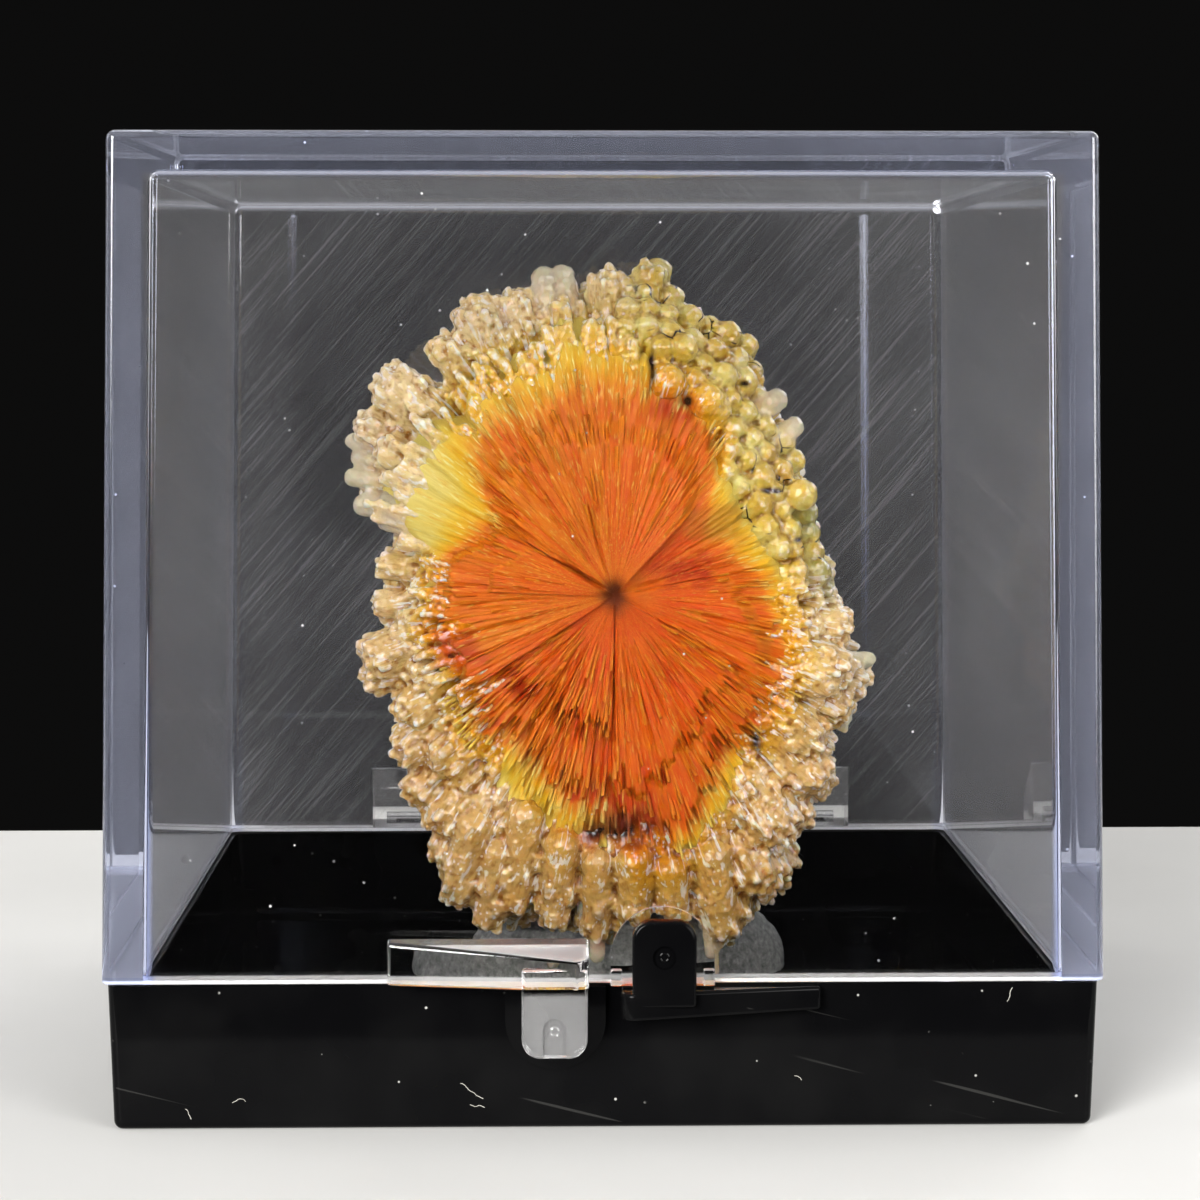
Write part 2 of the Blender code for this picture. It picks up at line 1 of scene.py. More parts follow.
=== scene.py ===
"""Looks of the boxed scolecite specimen: the case, the putty, the crystals, the floor and the light.

The shapes are worked out in millimetres and written in metres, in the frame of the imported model.
"""

import math
import random

import bmesh
import bpy
import numpy as np
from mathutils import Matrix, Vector, noise


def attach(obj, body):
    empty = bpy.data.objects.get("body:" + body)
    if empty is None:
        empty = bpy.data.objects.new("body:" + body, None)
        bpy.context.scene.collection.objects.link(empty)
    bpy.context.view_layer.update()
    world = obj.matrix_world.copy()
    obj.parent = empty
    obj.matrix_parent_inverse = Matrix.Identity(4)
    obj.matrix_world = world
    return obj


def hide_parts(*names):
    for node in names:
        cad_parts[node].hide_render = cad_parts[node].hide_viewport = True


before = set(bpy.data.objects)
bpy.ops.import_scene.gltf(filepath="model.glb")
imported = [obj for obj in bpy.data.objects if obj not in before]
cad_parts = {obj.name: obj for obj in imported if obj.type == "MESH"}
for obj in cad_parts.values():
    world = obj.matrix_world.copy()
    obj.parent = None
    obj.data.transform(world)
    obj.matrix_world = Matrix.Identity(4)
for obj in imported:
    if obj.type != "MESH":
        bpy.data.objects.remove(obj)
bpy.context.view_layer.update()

MM = 0.001

# Camera, solved on the corners of the box in the photograph
CAMERA_PLACE = (-2.131, -113.149, 25.546)
CAMERA_YAW = 0.0205        # turned towards +X
CAMERA_PITCH = 0.0873      # turned down
CAMERA_LENS = 92.84        # on a 36 mm sensor

# Box
LID_HALF = 16.0
LID_TOP = 31.75
LID_RIM = 4.77
LID_WALL = 1.2
LID_DRAFT = 0.0165
BASE_TOP = 4.70
BASE_HALF = 15.83
BASE_WALL = 1.2
BASE_DRAFT = 0.0272
FLOOR = 1.3
EDGE_ROUND = 0.28
INSIDE_ROUND = 0.35
RIM_ROUND = 0.12
OVERLAP = 0.5
SHARP_ANGLE = math.radians(30)
SHADE_ANGLE = math.radians(28)
BROKEN_ANGLE = math.radians(50)

# Latch
TAB_THIN_X = 6.9
TAB_THICK_X = 0.5
TAB_THIN = 0.25
TAB_THICK = 1.3
TAB_CORNER = 0.45
TAB_ROUND = 0.12
LID_TAB_HEIGHT = 1.45
LID_TAB_SLOPE = 0.35
BASE_TAB_HEIGHT = 0.9
BASE_TAB_RISE = 0.02       # for each millimetre outwards
PRONG_INNER = 0.65
PRONG_OUTER = 1.28
LID_PRONG_X = (-2.63, -0.55)
LID_PRONG_LOW = 2.62
BASE_PRONG_X = (0.86, 2.88)
BASE_PRONG_HIGH = 7.0
BASE_DIMPLE_Z = 5.85
PRONG_ROUND = 0.6
RECESS_WIDTH = 0.74
RECESS_DEPTH = 0.14
GATE_RADIUS = 0.13
GATE_WIRE = (0.045, 0.05)
GATE_SIDES = (20, 8)
BOSS_THICK = 0.36
BOSS_THIN = 0.12
LID_BOSS_X = (0.19, 3.50)
LID_BOSS_HEIGHT = 2.5
BASE_BOSS_X = (-3.16, 0.04)
BASE_BOSS_HEIGHT = 2.7
STOP_SIZE = (0.36, 0.34, 0.55)
LINT = (                   # place on the tray's front and length
    (-11.9, 0.9, 0.5), (-4.6, 1.5, 0.9), (12.9, 4.1, 0.5), (-4.3, 0.8, 0.5), (6.1, 1.7, 0.3),
    (-13.4, 0.7, 0.4),
)

# Hinge
HINGE_Y = 17.35
HINGE_Z = 4.75
EAR_SPANS = ((-9.0, -6.15), (8.05, 10.9))
EAR_RADIUS = 1.3
EAR_HEIGHT = 2.5
LUG_SPANS = ((-6.0, -3.8), (5.7, 7.9))
LUG_RADIUS = 1.15
LUG_FOOT = 1.55
PIN_RADIUS = 0.5
PIN_LENGTH = 2.05
HOLE_RADIUS = 0.6
HOLE_DEPTH = 2.3

# Specimen: angles run from +X towards +Z about the radiating centre
CENTRE = np.array((0.64, 0.3, 16.1))
OUTLINE = (
    (0, 8.5), (10, 8.2), (20, 8.1), (30, 8.4), (40, 8.9), (50, 9.2), (57, 9.9), (63, 10.8),
    (70, 10.7), (77, 11.2), (82, 12.0), (88, 11.6), (96, 11.5), (101, 12.0), (105, 10.8),
    (112, 11.2), (118, 10.6), (124, 10.7), (130, 9.9), (137, 11.0), (144, 10.8), (155, 10.5),
    (161, 10.2), (166, 8.8), (172, 7.9), (180, 8.6), (190, 8.5), (196, 9.7), (201, 9.9),
    (208, 9.2), (214, 8.9), (220, 9.9), (226, 11.0), (232, 11.0), (238, 12.0), (243, 13.0),
    (250, 13.7), (259, 13.3), (265, 13.0), (269, 13.9), (274, 12.7), (280, 13.2), (285, 14.6),
    (289, 14.3), (294, 13.7), (300, 13.4), (306, 12.3), (313, 11.2), (319, 11.3), (326, 10.1),
    (333, 10.3), (342, 10.3), (350, 9.1),
)
FAN_EDGE = (
    (0, 5.2), (12, 4.7), (25, 4.3), (35, 4.1), (44, 4.6), (52, 5.8), (64, 6.9), (80, 7.2),
    (94, 7.4), (108, 7.2), (122, 7.3), (135, 6.6), (147, 4.9), (159, 5.4), (170, 6.4),
    (183, 6.3), (191, 6.9), (203, 6.2), (222, 6.9), (239, 6.6), (255, 7.4), (263, 7.6),
    (269, 7.4), (275, 9.3), (284, 9.1), (294, 8.1), (305, 7.0), (315, 7.1), (329, 7.0), (345, 6.2),
)
FIELD_SHARE = (            # how far the broken face reaches, as a share of the outline
    (0, 0.80), (22, 0.74), (40, 0.66), (64, 0.74), (82, 0.78), (95, 0.86), (165, 0.87),
    (180, 0.84), (200, 0.74), (225, 0.72), (245, 0.74), (265, 0.76), (290, 0.74), (320, 0.72),
    (345, 0.76),
)
AMBER_WIDTH = (            # how far amber reaches beyond the fan, as a share of the fan's edge
    (0, 0.40), (30, 0.50), (60, 0.42), (90, 0.42), (125, 0.46), (150, 0.42), (165, 0.16),
    (210, 0.14), (225, 0.20), (255, 0.26), (290, 0.22), (320, 0.16), (340, 0.22),
)
SHEETS = (                 # start and end angle, share of the fan's edge, lift, raggedness, fall
    (-30, 10, 0.98, 0.60, 0.10, 1.0),
    (10, 47, 0.98, 0.42, 0.10, 1.2),
    (47, 104, 1.0, 0.84, 0.40, 1.8),
    (104, 148.5, 1.0, 0.78, 0.40, 1.4),
    (149.5, 213, 1.0, 0.94, 0.14, 0.45),
    (150, 178, 0.78, 1.06, 0.16, 0.6),
    (213, 268.8, 0.74, 0.70, 1.00, 0.55),
    (213, 262, 0.98, 0.50, 0.90, 0.45),
    (270.2, 330, 0.82, 0.74, 0.70, 0.60),
    (268, 336, 1.02, 0.54, 0.90, 0.50),
    (236, 304, 1.16, 0.24, 0.80, 0.50),
)
OUTER_LIFT = (             # lift of the face outside the sheets
    (0, 0.30), (48, 0.40), (95, 0.58), (148, 0.58), (165, 0.42), (205, 0.35), (225, 0.18),
    (240, 0.05), (300, 0.05), (325, 0.22),
)
FAN_TONE = (               # how golden the face is, from red at 0 to creamy at 1
    (0, 0.45), (44, 0.42), (50, 0.66), (146, 0.62), (152, 0.62), (205, 0.58), (215, 0.36),
    (330, 0.36), (345, 0.44),
)
SEAMS = (                  # angle, start, end, half width, depth
    (148.8, 0.3, 2.6, 0.07, 0.30), (270.5, 0.2, 6.2, 0.05, 0.09), (107.0, 0.9, 3.6, 0.05, 0.10),
    (213.0, 1.9, 5.4, 0.05, 0.05), (184.0, 2.0, 6.0, 0.05, 0.05), (14.0, 0.4, 2.2, 0.14, 0.20),
    (236.0, 2.6, 5.6, 0.05, 0.10), (168.0, 1.6, 5.0, 0.05, 0.05), (128.0, 3.0, 6.4, 0.05, 0.05),
    (328.0, 2.2, 5.0, 0.05, 0.04), (251.0, 3.0, 6.4, 0.05, 0.12), (196.0, 3.0, 6.2, 0.06, 0.10),
)
PROFILE = (                # share of the outline and depth, from the broken face round to the back
    (0.78, -2.0), (0.86, -1.75), (0.94, -1.0), (1.0, 0.1), (0.97, 1.5), (0.88, 2.9), (0.75, 4.1),
    (0.58, 5.1), (0.38, 5.8), (0.17, 6.2), (0.02, 6.3),
)
CORE = (
    (0.0, -1.0), (0.66, -1.0), (0.84, -0.7), (0.91, 0.3), (0.88, 1.5), (0.78, 2.9), (0.62, 4.0),
    (0.40, 4.9), (0.18, 5.4), (0.0, 5.5),
)
MEAN_RADIUS = 10.5
BUNDLE_PITCH = 2.3
FINGER_PITCH = 0.50
BACK_PITCH = 0.66
FINGER_LENGTH = 1.8
BALL_SECTOR = (4, 88)
BALL_PITCH = 0.80
SMOOTH_SECTOR = (92, 164)  # angles where needles run out to the rim with no fingers on them
PODS = (                   # single glassy fingers: inner end, outer end, radius
    ((-1.6, -0.9, 25.9), (-1.87, -0.7, 27.35), 0.46),
    ((-0.95, -0.7, 25.9), (-1.18, -0.5, 27.45), 0.44),
    ((8.6, -0.4, 13.6), (10.0, -0.3, 13.5), 0.30),
    ((8.3, -0.2, 12.6), (9.65, 0.0, 12.3), 0.34),
    ((8.0, -0.4, 11.9), (9.1, -0.2, 11.4), 0.36),
    ((-6.2, -1.5, 18.6), (-7.25, -1.4, 19.0), 0.74),
    ((-7.0, -1.2, 19.2), (-8.35, -1.0, 19.2), 0.42),
    ((-7.4, -1.0, 20.1), (-8.75, -0.8, 20.2), 0.34),
    ((-7.4, -0.8, 20.8), (-8.55, -0.6, 20.9), 0.32),
    ((-7.4, -0.6, 21.3), (-8.75, -0.4, 21.5), 0.33),
    ((5.6, -0.7, 22.3), (6.55, -0.6, 23.0), 0.44),
    ((6.3, -0.6, 21.5), (7.2, -0.5, 22.0), 0.40),
    ((0.1, -1.4, 4.2), (0.05, -1.2, 2.75), 0.30),
    ((4.1, -1.5, 4.0), (4.25, -1.2, 2.2), 0.30),
)
ARCHES = (                 # tall lobes along the bottom: upper end, lower end, radius
    ((0.05, -2.2, 6.30), (0.02, -1.6, 4.0), 0.58),
    ((1.38, -2.4, 6.42), (1.45, -1.7, 4.1), 0.70),
    ((2.66, -2.2, 6.00), (2.90, -1.6, 3.9), 0.64),
    ((-1.27, -2.1, 6.95), (-1.50, -1.5, 4.4), 0.66),
    ((-2.56, -2.0, 7.95), (-3.00, -1.5, 5.0), 0.70),
    ((-3.60, -1.8, 6.60), (-3.90, -1.3, 4.3), 0.60),
    ((-4.43, -1.9, 7.60), (-5.00, -1.3, 5.3), 0.72),
    ((4.20, -1.9, 6.50), (4.60, -1.4, 4.0), 0.75),
)
LOBES = (                  # bundles of fingers: place of the outer end, radius
    (-7.0, -1.2, 23.3, 1.05), (-8.0, -0.9, 22.0, 0.70), (-7.2, -1.5, 21.1, 0.75),
    (-5.3, -1.1, 24.7, 0.75), (-4.1, -1.1, 25.8, 1.05), (-2.8, -0.9, 26.2, 0.85),
    (0.5, -0.8, 26.95, 0.80), (1.9, -0.6, 27.2, 0.75),
    (-7.3, -0.9, 17.0, 0.60), (-7.5, -0.8, 15.6, 0.60),
    (-7.5, -1.2, 13.8, 1.10), (-6.5, -1.5, 14.9, 0.80), (-7.9, -0.9, 13.0, 0.65),
    (-6.4, -1.4, 12.0, 0.95), (-6.5, -1.1, 10.5, 0.90), (-6.2, -1.0, 9.0, 0.85),
    (-5.3, -1.6, 10.2, 0.90), (-5.3, -1.3, 8.0, 0.95), (-5.3, -0.9, 6.7, 0.80),
    (8.0, -1.6, 13.3, 1.25), (8.6, -1.0, 11.9, 0.70), (8.6, -1.0, 14.9, 0.75),
    (7.3, -1.7, 11.0, 1.10), (7.5, -1.4, 9.6, 1.05), (6.3, -1.7, 8.0, 1.20),
    (7.2, -1.0, 8.0, 0.80), (5.7, -1.4, 6.0, 1.00), (5.0, -1.0, 4.6, 0.75),
)
LOBE_LENGTH = 1.6
# The dark spots are painted shade: black pits and a deep recess under the face, which are not
# modelled.
SPOTS = (                  # colour, middle, half width, half height
    ("dark", 5.75, 10.8, 0.20, 0.40),
    ("dark", 1.98, 24.2, 0.12, 0.60),
    ("dark", 3.25, 23.0, 0.16, 0.20),
    ("dark", 4.9, 24.7, 0.12, 0.20),
    ("dark", 5.35, 23.6, 0.16, 0.10),
    ("dark", 6.3, 19.8, 0.30, 0.10),
    ("dark", 7.3, 18.0, 0.20, 0.12),
    ("dark", 0.9, 7.7, 1.1, 0.55),
    ("red", 0.9, 8.2, 1.7, 1.1),
    ("red", 2.9, 22.7, 0.7, 0.45),
    ("red", -5.0, 14.1, 0.8, 0.7),
    ("red", -2.6, 12.7, 0.5, 0.6),
    ("red", 3.2, 17.0, 1.0, 0.5),
    ("cool", 8.0, 18.6, 0.7, 0.7),
    ("cool", 4.4, 18.6, 1.0, 0.6),
    ("cool", 8.3, 16.6, 0.5, 0.9),
    ("cool", 6.5, 24.3, 0.5, 0.4),
)
CRUST_PARTS = (            # pieces of the crust's front: name, start and end angle
    ("crust_left", 92, 212), ("crust_low", 212, 325), ("crust_right", 325, 452),
)
CRUST_VOXEL = 0.096
BACK_VOXEL = 0.18
CRUST_SPLIT = 1.2          # y behind which the crust is a coarser piece

BALLS = (                  # single balls in front of the others: place, radius
    (2.5, -2.5, 23.7, 0.66), (3.95, -2.3, 23.0, 0.68), (3.1, -2.2, 24.9, 0.55),
    (7.4, -1.6, 19.6, 0.6),
)
TORN_SECTOR = (213, 330)   # where the face is torn into deeper steps
TORN_STEPS = ((1.1, 0.05), (1.9, 0.06), (3.1, 0.07), (5.0, 0.06))       # width in degrees, depth
RIPPLES = ((26, 0.05), (70, 0.03), (190, 0.025), (430, 0.02))           # waves all round, height
FACE_LEVEL = (             # share of the outline, y
    (0.0, -2.2), (0.5, -2.2), (0.7, -2.1), (0.8, -1.9), (0.9, -1.4), (1.0, -0.4),
)
FAN_BACK = -0.6
SPLINTERS = 620
SPLINTER_SECTORS = (       # start and end angle, share of the splinters
    (213, 268, 5.0), (270, 335, 4.0), (95, 150, 3.0), (150, 213, 1.0), (50, 95, 1.0),
    (335, 372, 1.0),
)
FACE_HOLLOW = 0.06         # depth that counts as a full hollow on the face and in the crust
CRUST_HOLLOW = 0.045

# Putty
PUTTY_CENTRE = (1.25, 3.5)
PUTTY_SIZE = (6.0, 3.7, 3.9)
PUTTY_LIFT = 0.1

# Looks of the lid, by share of the light that its dust scatters; the latch and rim shares are
# whitening painted as highlights on the prong and the bottom edge
LID_INSIDE = 14.3          # just inside the lid's walls
LID_CEILING = 30.3
WALL_BLEND = 0.2
SIDE_DUST = 0.07
TOP_DUST = 0.09
BACK_DUST = 0.06
FRAME_DUST = 0.01
# Prong: whitened as a painted highlight, so that it looks brightly lit
LATCH_PAINTED_SHINE = 0.09
# Bottom edge: frosted, and whitened as a painted highlight for the glint along it
RIM_FROST_AND_GLINT = 0.45
SCRATCH_DUST = 0.12
SPECK_DUST = 0.4

# Table and light
TABLE = ((-260.0, -26.0, -4.0), (260.0, 44.0, 0.0))
PANELS = (                 # direction, angle inside which it is full, angle where it ends, strength
    ((0.0, 0.1, 1.0), 20, 75, 0.6),
    ((-0.50, -0.85, 0.32), 6, 20, 37.0),
    ((0.70, -0.80, 0.24), 8, 22, 13.0),
    ((-1.0, 0.25, 0.40), 8, 26, 2.2),
    ((1.0, 0.25, 0.40), 8, 26, 2.2),
    ((0.55, 0.80, 0.45), 6, 20, 5.0),
)
ROOM_LIGHT = 0.004
LIGHT_COLOUR = (1.0, 0.985, 0.97)


def srgb(red, green, blue):
    """Turn a colour in 0 to 255 into linear light."""
    return tuple(((c / 255 + 0.055) / 1.055) ** 2.4 if c > 10 else c / 3294.6
                 for c in (red, green, blue))


class Nodes:
    """A node tree with short calls for the nodes used here."""

    def __init__(self, owner):
        owner.use_nodes = True
        self.owner = owner
        self.tree = owner.node_tree

    def add(self, kind, **settings):
        node = self.tree.nodes.new(kind)
        for key, value in settings.items():
            setattr(node, key, value)
        return node

    def feed(self, socket, value):
        if isinstance(value, bpy.types.NodeSocket):
            self.tree.links.new(value, socket)
        elif isinstance(value, tuple) and len(value) == 3 and socket.type == "RGBA":
            socket.default_value = (*value, 1.0)
        else:
            socket.default_value = value

    def math(self, operation, first, second=0.0, clamp=False):
        node = self.add("ShaderNodeMath", operation=operation, use_clamp=clamp)
        self.feed(node.inputs[0], first)
        self.feed(node.inputs[1], second)
        return node.outputs[0]

    def times(self, first, second):
        return self.math("MULTIPLY", first, second)

    def plus(self, first, second, clamp=False):
        return self.math("ADD", first, second, clamp)

    def larger(self, first, second):
        return self.math("MAXIMUM", first, second)

    def left(self, share):
        """Return what a share leaves of one."""
        return self.math("SUBTRACT", 1.0, share)

    def sway(self, value, wave, amount):
        """Add a noise to a value, to either side of it."""
        return self.plus(value, self.times(self.math("SUBTRACT", wave, 0.5), amount))

    def vector(self, operation, first, second):
        node = self.add("ShaderNodeVectorMath", operation=operation)
        self.feed(node.inputs[0], first)
        self.feed(node.inputs[3 if operation == "SCALE" else 1], second)
        return node.outputs["Value" if operation in ("LENGTH", "DOT_PRODUCT") else "Vector"]

    def steps(self, value, low, high, out_low=0.0, out_high=1.0):
        node = self.add("ShaderNodeMapRange", interpolation_type="SMOOTHSTEP")
        for socket, number in zip(node.inputs[:5], (value, low, high, out_low, out_high)):
            self.feed(socket, number)
        return node.outputs[0]

    def mix(self, factor, first, second, blend="MIX"):
        node = self.add("ShaderNodeMix", data_type="RGBA", blend_type=blend)
        self.feed(node.inputs[0], factor)
        self.feed(node.inputs[6], first)
        self.feed(node.inputs[7], second)
        return node.outputs[2]

    def tint(self, colour, filter_colour):
        """Multiply a colour by another one."""
        return self.mix(1.0, colour, filter_colour, "MULTIPLY")

    def parts(self, vector):
        """Return the three parts of a vector."""
        node = self.add("ShaderNodeSeparateXYZ")
        self.feed(node.inputs[0], vector)
        return node.outputs

    def ramp(self, factor, stops):
        node = self.add("ShaderNodeValToRGB")
        elements = node.color_ramp.elements
        while len(elements) < len(stops):
            elements.new(0.5)
        for element, (place, colour) in zip(elements, stops):
            element.position = place
            element.color = (*colour, 1.0)
        self.feed(node.inputs[0], factor)
        return node.outputs[0]

    def noise(self, vector, scale, detail=3.0, roughness=0.5):
        node = self.add("ShaderNodeTexNoise")
        self.feed(node.inputs["Vector"], vector)
        node.inputs["Scale"].default_value = scale
        node.inputs["Detail"].default_value = detail
        node.inputs["Roughness"].default_value = roughness
        return node.outputs[0]

    def cells(self, vector, scale, feature="F1"):
        node = self.add("ShaderNodeTexVoronoi", feature=feature)
        self.feed(node.inputs["Vector"], vector)
        node.inputs["Scale"].default_value = scale
        return node.outputs["Distance"]

    def attribute(self, name):
        return self.add("ShaderNodeAttribute", attribute_name=name).outputs["Fac"]

    def place(self):
        """Return the object's own coordinates, in millimetres."""
        coordinates = self.add("ShaderNodeTexCoord").outputs["Object"]
        return self.vector("SCALE", coordinates, 1.0 / MM)

    def bump(self, height, strength, distance):
        node = self.add("ShaderNodeBump")
        node.inputs["Strength"].default_value = strength
        node.inputs["Distance"].default_value = distance * MM
        self.feed(node.inputs["Height"], height)
        return node.outputs[0]

    def set(self, **values):
        """Set sockets of the material's shader, and return the material."""
        shader = self.tree.nodes["Principled BSDF"]
        for key, value in values.items():
            self.feed(shader.inputs[key.replace("_", " ")], value)
        return self.owner


def material_nodes(name):
    """Return the node tree of a new material."""
    return Nodes(bpy.data.materials.new(name))


def linked(name, data):
    """Return a new object with this data, linked into the scene."""
    obj = bpy.data.objects.new(name, data)
    bpy.context.scene.collection.objects.link(obj)
    return obj


def new_object(name, bm, material=None):
    """Turn a bmesh drawn in millimetres into an object in metres."""
    bmesh.ops.recalc_face_normals(bm, faces=bm.faces)
    bmesh.ops.scale(bm, vec=(MM, MM, MM), verts=bm.verts)
    mesh = bpy.data.meshes.new(name)
    bm.to_mesh(mesh)
    bm.free()
    obj = linked(name, mesh)
    if material:
        mesh.materials.append(material)
    return obj


def combine(target, operation, bm):
    """Join a solid to the target, or cut it away, for good."""
    tool = new_object("tool", bm)
    modifier = target.modifiers.new("combine", "BOOLEAN")
    modifier.operation = operation
    modifier.solver = "EXACT"
    modifier.object = tool
    apply_modifiers(target)
    bpy.data.objects.remove(tool, do_unlink=True)


def apply_modifiers(obj):
    """Replace an object's mesh by what its modifiers make of it."""
    graph = bpy.context.evaluated_depsgraph_get()
    mesh = bpy.data.meshes.new_from_object(obj.evaluated_get(graph))
    mesh.name = obj.name
    obj.modifiers.clear()
    old = obj.data
    obj.data = mesh
    bpy.data.meshes.remove(old)


def lofted(front, back):
    """Return a closed solid between two outlines that have as many points."""
    bm = bmesh.new()
    first = [bm.verts.new(point) for point in front]
    second = [bm.verts.new(point) for point in back]
    bm.faces.new(first)
    bm.faces.new(reversed(second))
    for i, vert in enumerate(first):
        j = (i + 1) % len(first)
        bm.faces.new((vert, second[i], second[j], first[j]))
    bmesh.ops.recalc_face_normals(bm, faces=bm.faces)
    return bm


def box(low, high):
    """Return a rectangular block."""
    corners = [(low[0], low[1]), (high[0], low[1]), (high[0], high[1]), (low[0], high[1])]
    return lofted([(x, y, low[2]) for x, y in corners], [(x, y, high[2]) for x, y in corners])


def tapered_block(half_low, half_high, z_low, z_high, radius, open_z, rim=0.0):
    """Return a square block with sloping sides, rounded less or not at all at its open end."""
    bm = lofted(
        [(x * half_low, y * half_low, z_low) for x, y in ((-1, -1), (1, -1), (1, 1), (-1, 1))],
        [(x * half_high, y * half_high, z_high) for x, y in ((-1, -1), (1, -1), (1, 1), (-1, 1))],
    )
    edges = [e for e in bm.edges if any(abs(v.co.z - open_z) > 1e-6 for v in e.verts)]
    bmesh.ops.bevel(bm, geom=edges, offset=radius, segments=6, profile=0.5, affect="EDGES")
    if rim:
        edges = [e for e in bm.edges if all(abs(v.co.z - open_z) < 1e-6 for v in e.verts)]
        bmesh.ops.bevel(bm, geom=edges, offset=rim, segments=3, profile=0.5, affect="EDGES")
    return bm


def arc(centre, radius, start, end, steps):
    """Return points on an arc, with the angles in degrees."""
    points = []
    for i in range(steps + 1):
        angle = math.radians(start + (end - start) * i / steps)
        points.append((centre[0] + radius * math.cos(angle), centre[1] + radius * math.sin(angle)))
    return points


def side_plate(profile, span):
    """Extrude a profile in the YZ plane along X."""
    return lofted([(span[0], y, z) for y, z in profile], [(span[1], y, z) for y, z in profile])


def front_plate(outline, back_y, front_y):
    """Extrude an outline in the XZ plane between two depths, each a function of z."""
    back = [(x, back_y(z), z) for x, z in outline]
    front = [(x, front_y(z), z) for x, z in outline]
    return lofted(front, back)


def rod(span, radius, sides=40):
    """Return a cylinder along X, on the hinge's axis."""
    return side_plate(arc((HINGE_Y, HINGE_Z), radius, 0, 360 - 360 / sides, sides - 1), span)


def round_edges(bm, radius, segments=4):
    """Round the sharp edges of a small solid."""
    sharp = [edge for edge in bm.edges if edge.calc_face_angle(0.0) > SHARP_ANGLE]
    bmesh.ops.bevel(bm, geom=sharp, offset=radius, segments=segments, profile=0.5, affect="EDGES")
    return bm


def thumb_tab(side, wall_y, low, high):
    """Return a tab whose plan is a wedge; side is -1 for the left one and 1 for the right one."""
    centre = (TAB_THICK_X + TAB_CORNER, -wall_y - TAB_THICK + TAB_CORNER)
    turn = arc(centre, TAB_CORNER, 180, 270, 9)
    plan = [(TAB_THICK_X, OVERLAP - wall_y)] + turn
    plan += [(TAB_THIN_X, -wall_y - TAB_THIN), (TAB_THIN_X, OVERLAP - wall_y)]
    bottom = [(side * x, y, low(x, -wall_y - y)) for x, y in plan]
    top = [(side * x, y, high(x, -wall_y - y)) for x, y in plan]
    return round_edges(lofted(bottom, top), TAB_ROUND)


def prong(span, root_z, tip_z, wall_y):
    """Return a flat prong with a rounded tip."""
    direction = 1 if tip_z > root_z else -1
    turn_z = tip_z - direction * PRONG_ROUND
    right = arc((span[1] - PRONG_ROUND, turn_z), PRONG_ROUND, 0, 90 * direction, 10)
    left = arc((span[0] + PRONG_ROUND, turn_z), PRONG_ROUND, 90 * direction, 180 * direction, 10)
    outline = [(span[0], root_z), (span[1], root_z)] + right + left
    solid = front_plate(outline, lambda z: -wall_y - PRONG_INNER, lambda z: -wall_y - PRONG_OUTER)
    return round_edges(solid, TAB_ROUND)


def recess(centre_x, start_z, end_z, wall_y):
    """Return the cutter of a shallow recess with a round end at end_z."""
    half = RECESS_WIDTH / 2
    direction = 1 if end_z > start_z else -1
    turn = arc((centre_x, end_z - direction * half), half, 0, 180 * direction, 24)
    outline = [(centre_x - half, start_z), (centre_x + half, start_z)] + turn
    face = -wall_y - PRONG_OUTER
    return front_plate(outline, lambda z: face + RECESS_DEPTH, lambda z: face - OVERLAP)


def boss(span, rim_z, height, direction, wall_y):
    """Return an arch-shaped wedge, thickest at the rim, that fades into the wall."""
    half = (span[1] - span[0]) / 2
    centre_x = span[0] + half
    turn = arc((centre_x, direction * (height - half)), half, 0, 180 * direction, 32)
    outline = [(span[0], 0.0), (span[1], 0.0)] + turn
    outline = [(x, rim_z + z) for x, z in outline]

    def face(z):
        share = abs(z - rim_z) / height
        return -wall_y - BOSS_THICK - (BOSS_THIN - BOSS_THICK) * share

    return front_plate(outline, lambda z: OVERLAP - wall_y, face)


def gate_mark(centre_x, centre_z):
    """Return the small raised ring that a mould's gate leaves in a recess."""
    face = -LID_HALF - PRONG_OUTER + RECESS_DEPTH
    bm = bmesh.new()
    steps, sides = GATE_SIDES
    rings = []
    for i in range(steps):
        angle = 2 * math.pi * i / steps
        ring = []
        for k in range(sides):
            turn = 2 * math.pi * k / sides
            reach = GATE_RADIUS + GATE_WIRE[0] * math.cos(turn)
            ring.append(bm.verts.new((centre_x + reach * math.cos(angle),
                                      face - 0.01 + GATE_WIRE[1] * math.sin(turn),
                                      centre_z + reach * math.sin(angle))))
        rings.append(ring)
    for i in range(steps):
        near, far = rings[i], rings[(i + 1) % steps]
        for k in range(sides):
            j = (k + 1) % sides
            bm.faces.new((near[k], far[k], far[j], near[j]))
    return bm


def ear_profile():
    """Return the side view of a lid ear: a barrel on the axis and a gusset up the wall."""
    wall_y = LID_HALF - OVERLAP
    barrel = arc((HINGE_Y, HINGE_Z), EAR_RADIUS, 180, 420, 40)
    top = LID_RIM + EAR_HEIGHT
    return [(wall_y, LID_RIM + 0.02)] + barrel + [(LID_HALF + 0.35, top), (wall_y, top)]


def lug_profile():
    """Return the side view of a base lug: a barrel on the axis and a foot down the wall."""
    wall_y = BASE_HALF - OVERLAP
    barrel = arc((HINGE_Y, HINGE_Z), LUG_RADIUS, -30, 200, 36)
    return [(wall_y, LUG_FOOT), (BASE_HALF, LUG_FOOT)] + barrel + [(wall_y, LID_RIM - 0.45)]


def outward(span):
    """Return 1 for a span right of the middle and -1 for one left of it."""
    return 1 if span[0] + span[1] > 0 else -1


def smooth(obj):
    """Shade an object smooth, with sharp edges kept and flat faces left flat."""
    obj.data.shade_smooth()
    obj.data.set_sharp_from_angle(angle=SHADE_ANGLE)
    even = obj.modifiers.new("even normals", "WEIGHTED_NORMAL")
    even.keep_sharp = True
    even.weight = 80


